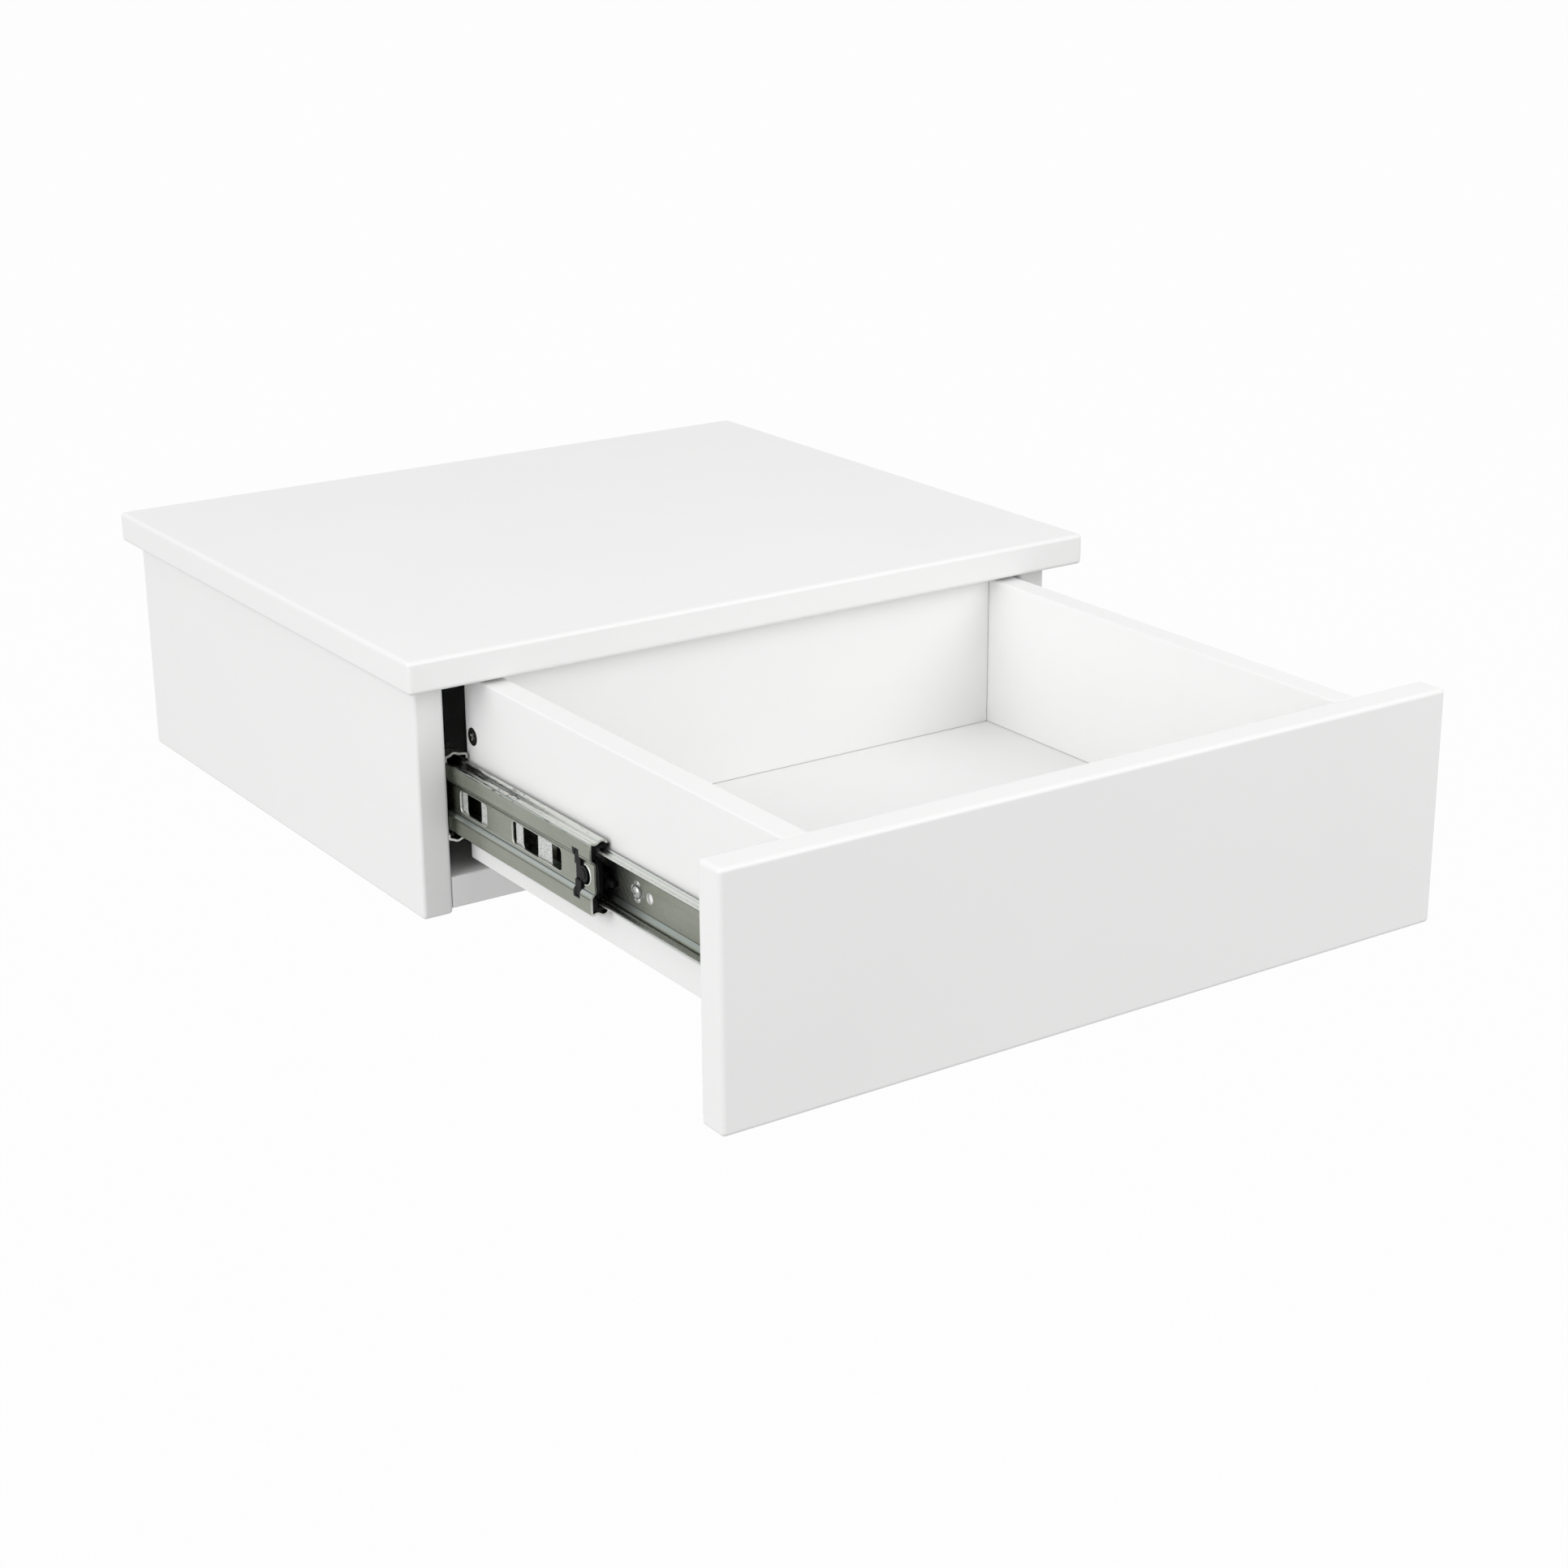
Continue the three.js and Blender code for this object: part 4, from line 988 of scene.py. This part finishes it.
def drawer_grease_and_shade(steel):
    """Grease from the middle member, with painted shade and a painted reflection of the black clip on the web
    next to the clip, darkest between the knurls.
    """
    below_rims = 1 - abs(steel.along(2) - slide_z).rising(10 * mm, 11 * mm)
    wiped_and_shaded = steel.along(1).within(*greased_and_shaded_along, greased_and_shaded_fade) * below_rims
    return wiped_and_shaded * (0.95 - 0.22 * web_knurl(steel))


# The third colour is the painted reflection on slanted faces; the last is the grease, painted shade and
# painted reflection of the clip.
drawer_steel = rolled_steel("drawer_member_steel", (7.2 * mm, 10.4 * mm), (0.33, 0.4, 0.41, 1),
                            web_knurl, drawer_grease_and_shade, (0.018, 0.019, 0.018, 1))
member = folded_strip("drawer_member", (drawer_web, 0), [
    (drawer_web, drawer_web_half),
    (rim_u, drawer_web_half + rim_step),
    (rim_u, rim_bend.y),
    (rim_bend.x, rim_bend.y, -(pi / 2 + race_turn), 7),
    (inner_row.x, inner_row.y, 2 * race_turn, 8),
], slide_length, strip, drawer_steel,
    ((drawer_web, drawer_web_half), (rim_u, drawer_web_half + rim_step)), rim_corner)
cutters = []
for end in ("front", "middle", "rear"):
    low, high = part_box(f"left_{end}_drawer_slide_screw")
    along = (low.y + high.y) / 2 - drawer_member_front
    for length, height in ((lobe_long, lobe_wide), (lobe_wide, lobe_long)):
        cutters.append(opening((drawer_web - 1.6 * strip, along - length, -height),
                               (drawer_web + 1.9 * strip, along + length, height), lobe_corner))
cutters.append(round_opening(drawer_web, front_board_back + spare_hole - drawer_member_front, spare_radius))
hang(eased(cut(member, cutters)), "drawer_member", drawer_member_front, "drawer")

# The ball cages are thin galvanised strip with windows. An arm along each row has a pocket
# for every ball, and the balls are polished steel.
galvanised = Finish("galvanised_cage", {"Metallic": 0.85})
spangle = galvanised.cloud(0.65 * mm, 4).rising(0.34, 0.66)
galvanised.feed(galvanised.shader, {
    "Base Color": galvanised.blend(spangle, (0.4, 0.41, 0.4, 1), (0.82, 0.83, 0.82, 1)),
    "Roughness": 0.4 + 0.25 * spangle,
})
galvanised.relief(spangle, 0.06 * mm)

ball_steel = Finish("ball_steel", {"Metallic": 1.0})
film = ball_steel.cloud(1.5 * mm, 3)
ball_steel.feed(ball_steel.shader, {
    "Base Color": ball_steel.blend(film, (0.42, 0.42, 0.41, 1), (0.6, 0.6, 0.6, 1)),
    "Roughness": 0.1 + 0.12 * film,
})
cage_strip = 0.5 * mm
cage_corner = 2 * mm
arm_bend = 0.7 * mm
arm_past_row = 1.9 * mm
arm_setback = 7 * mm
cage_lip = 0.18 * mm
pocket_radius = 1.72 * mm
balls_in_row = 5


def caged_balls(row, length, pitch):
    """The centres of a cage's balls, in two rows about its middle."""
    return [(row.x, length / 2 + pitch * (i - (balls_in_row - 1) / 2), v)
            for i in range(balls_in_row) for v in (-row.y, row.y)]


def ball_cage(piece, row, u, length, half, gaps, balls):
    """A cage without its balls. The gaps in its web are in millimetres behind its front end."""
    cage = folded_strip(piece, (u, 0), [
        (u, row.y - arm_bend),
        (u + arm_bend, row.y - arm_bend, pi / 2, 4),
        (row.x + arm_past_row, row.y),
    ], length, cage_strip, galvanised)
    cutters = [opening((u - 2 * cage_strip, start * mm, -half), (u + 2 * cage_strip, end * mm, half),
                       cage_corner) for start, end in gaps]
    for centre in balls:
        pocket = moved(rod(pocket_radius, -3 * cage_strip, 3 * cage_strip, 24), Matrix.Translation(centre))
        cutters.append(formed("pocket", pocket, cut_steel))
    for v in (-row.y, row.y):
        for start, end in ((-strip, arm_setback), (length - arm_setback, length + strip)):
            cutters.append(opening((u + arm_bend, start, v - arm_bend),
                                   (row.x + 2 * arm_past_row, end, v + arm_bend), 0))
    return eased(cut(cage, cutters), cage_lip, lambda middle: abs(middle.z) < half + cage_strip)


def add_balls(cage, balls):
    """Sets polished balls into the pockets of a cage."""
    cage.data.materials.append(ball_steel.material)
    bm = bmesh.new()
    bm.from_mesh(cage.data)
    for centre in balls:
        ball = bmesh.ops.create_uvsphere(bm, u_segments=24, v_segments=14, radius=ball_radius,
                                         matrix=Matrix.Translation(centre))
        for face in {face for vert in ball["verts"] for face in vert.link_faces}:
            face.material_index = len(cage.data.materials) - 1
    bm.to_mesh(cage.data)
    bm.free()


for piece, body, row, u, length, half, gaps, pitch in (
    ("outer_ball_cage", "{}_outer_cage", outer_row, 1.6 * mm, 110 * mm, 12 * mm,
     ((8, 34), (40, 70), (76, 102)), 22 * mm),
    ("inner_ball_cage", "{}_inner_cage", inner_row, 5.5 * mm, 85 * mm, 5.6 * mm,
     ((12, 25), (31, 56), (62, 75)), 16 * mm),
):
    balls = caged_balls(row, length, pitch)
    cage = ball_cage(piece, row, u, length, half, gaps, balls)
    add_balls(cage, balls)
    hang(cage, piece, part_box(f"left_slide_{piece}")[0].y, body)

# A moulded black clip is keyed into the front of the middle member. It plugs the open end
# round the drawer member, and its bowed nose stands in front as a bumper.
black_plastic = Finish("black_plastic", {"IOR": 1.5, "Specular IOR Level": 0.1})
mould = black_plastic.cloud(0.25 * mm, 3)
wear = black_plastic.cloud(4 * mm, 3)
black_plastic.feed(black_plastic.shader, {
    "Base Color": black_plastic.blend(wear, (0.004, 0.004, 0.0045, 1), (0.008, 0.008, 0.009, 1)),
    "Roughness": 0.3 + 0.16 * mould,
})
black_plastic.relief(mould, 0.02 * mm)


def moulded(name, shapes):
    """One moulding from several shapes that run into one another."""
    whole, *parts = (formed(name, bm, black_plastic) for bm in shapes)
    return combined(whole, parts, "UNION")


def stud(radius, low_u, high_u, along, v, rounding):
    """A round stud across the slide."""
    bm = rod(radius, low_u, high_u)
    return across(rounded(bm, rims(bm), rounding), 0, along, v)


def blocks(corners, rounding):
    """Rounded blocks between pairs of corners in millimetres: (u, along, v)."""
    return [block([c * mm for c in low], [c * mm for c in high], rounding) for low, high in corners]


def mirrored(corners):
    low, high = corners
    return (low[0], low[1], -high[2]), (high[0], high[1], -low[2])


clip_round = 0.35 * mm
nose_round = 5.5 * mm
boss_along = 8.6 * mm
boss_radius, boss_u = 3.8 * mm, 3.5 * mm
button_radius, button_u = 2.4 * mm, 3.2 * mm
clip_inside = 6.6 * mm
plate = ((5.3, 0.4, -8.6), (7.2, 14.6, 8.6))
core = ((3.9, 7.7, -5.1), (6.6, 14.3, 5.1))
tab = ((2.9, 9.1, 3.3), (5.7, 14, 10.7))
rail = ((3.3, 0.4, 8.3), (5.7, 6, 14.4))
ledge = ((3.3, 0.4, 12.7), (12, 6, 14.4))
nose = ((5.3, -1.4, -8.6), (7.7, 5, 8.6))
bow = blocks([nose], 0)[0]
rounded(bow, [e for e in crosswise(bow) if all(v.co.y < 0 for v in e.verts)], nose_round, 10)
rounded(bow, [e for e in bow.edges if e.calc_face_angle(0) > cut_edge_angle], clip_round)
clip = moulded("clip", blocks((plate, core, tab, rail, ledge, mirrored(tab), mirrored(rail), mirrored(ledge)),
                              clip_round) + [
    bow,
    stud(boss_radius, boss_u, clip_inside, boss_along, 0, clip_round),
    stud(button_radius, button_u, clip_inside - 0.2 * mm, boss_along, 0, clip_round),
])
hang(clip, "clip", middle_front, "{}_middle_slide")

# The release lever is a black moulding on the web of the drawer member. Pressed with a
# finger, it lets the drawer come off the slide.
lever_round = 0.5 * mm
lever_nose = ((9.3, 120, -3.2), (11.5, 132, -0.6))
lever_bar = ((9.35, 126, -5.5), (11.5, 166, 1.7))
lever_boss = stud(radius=4.6 * mm, low_u=9.4 * mm, high_u=11.5 * mm, along=143 * mm, v=-1.9 * mm,
                  rounding=lever_round)
lever = moulded("lever", blocks((lever_nose, lever_bar), lever_round) + [lever_boss])
hang(lever, "release_lever", front_board_back, "drawer")

# The slides' screws: flat heads let into the cabinet member, and pan heads in the cross
# holes of the drawer member.
bright_plate = Finish("bright_zinc_plate", {"Metallic": 1.0})
worn = bright_plate.cloud(0.8 * mm, 4)
bright_plate.feed(bright_plate.shader, {
    "Base Color": bright_plate.blend(worn, (0.26, 0.27, 0.26, 1), (0.5, 0.51, 0.5, 1)),
    "Roughness": 0.2 + 0.18 * worn,
})
bright_plate.relief(worn, 0.03 * mm)
pan_radius = 3 * mm
pan_rise = 1.9 * mm
pan_shank = 1.6 * mm
pan_length = 10.5 * mm
pan_edge = 0.1 * mm
pan_cross_width = 1.05 * mm
pan_cross_depth = 1.7 * mm
pan = formed("pan_screw", turned((0, -pan_length), [
    (0.3 * pan_shank, -0.93 * pan_length), (pan_shank, pan_shank - pan_length), (pan_shank, 0),
    (pan_radius - pan_edge, 0), (pan_radius, 1.2 * pan_edge), (pan_radius, 5 * pan_edge),
    (0.93 * pan_radius, 9.5 * pan_edge), (0.76 * pan_radius, 14 * pan_edge),
    (0.48 * pan_radius, 17.5 * pan_edge), (0.2 * pan_radius, pan_rise), (0, pan_rise),
], 40), bright_plate)
cut(pan, cross_cutters(0.62 * pan_radius, pan_cross_width, pan_cross_depth, pan_rise, worn_recess_with_highlight))
flat = sunk_screw(head=3.5 * mm, depth=2 * mm, shank=1.6 * mm, length=13 * mm)
for side, label in sides:
    for end in ("front", "middle", "rear"):
        twist += 1.1
        node = f"{label}_{end}_drawer_slide_screw"
        under_head = seat(node, (side, 0, 0), twist) @ Matrix.Translation((0, 0, -pan_rise))
        fitted(put(pan, node + "_turned", under_head), "drawer", node)
    for end in ends:
        twist += 1.1
        node = f"{label}_{end}_cabinet_slide_screw"
        fitted(put(flat, node + "_turned", seat(node, (-side, 0, 0), twist)), "cabinet", node)
for pattern in (pan, flat):
    bpy.data.objects.remove(pattern)


size = {"cad": [list(c) for c in cad_box], "visual": [list(c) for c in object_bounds()]}
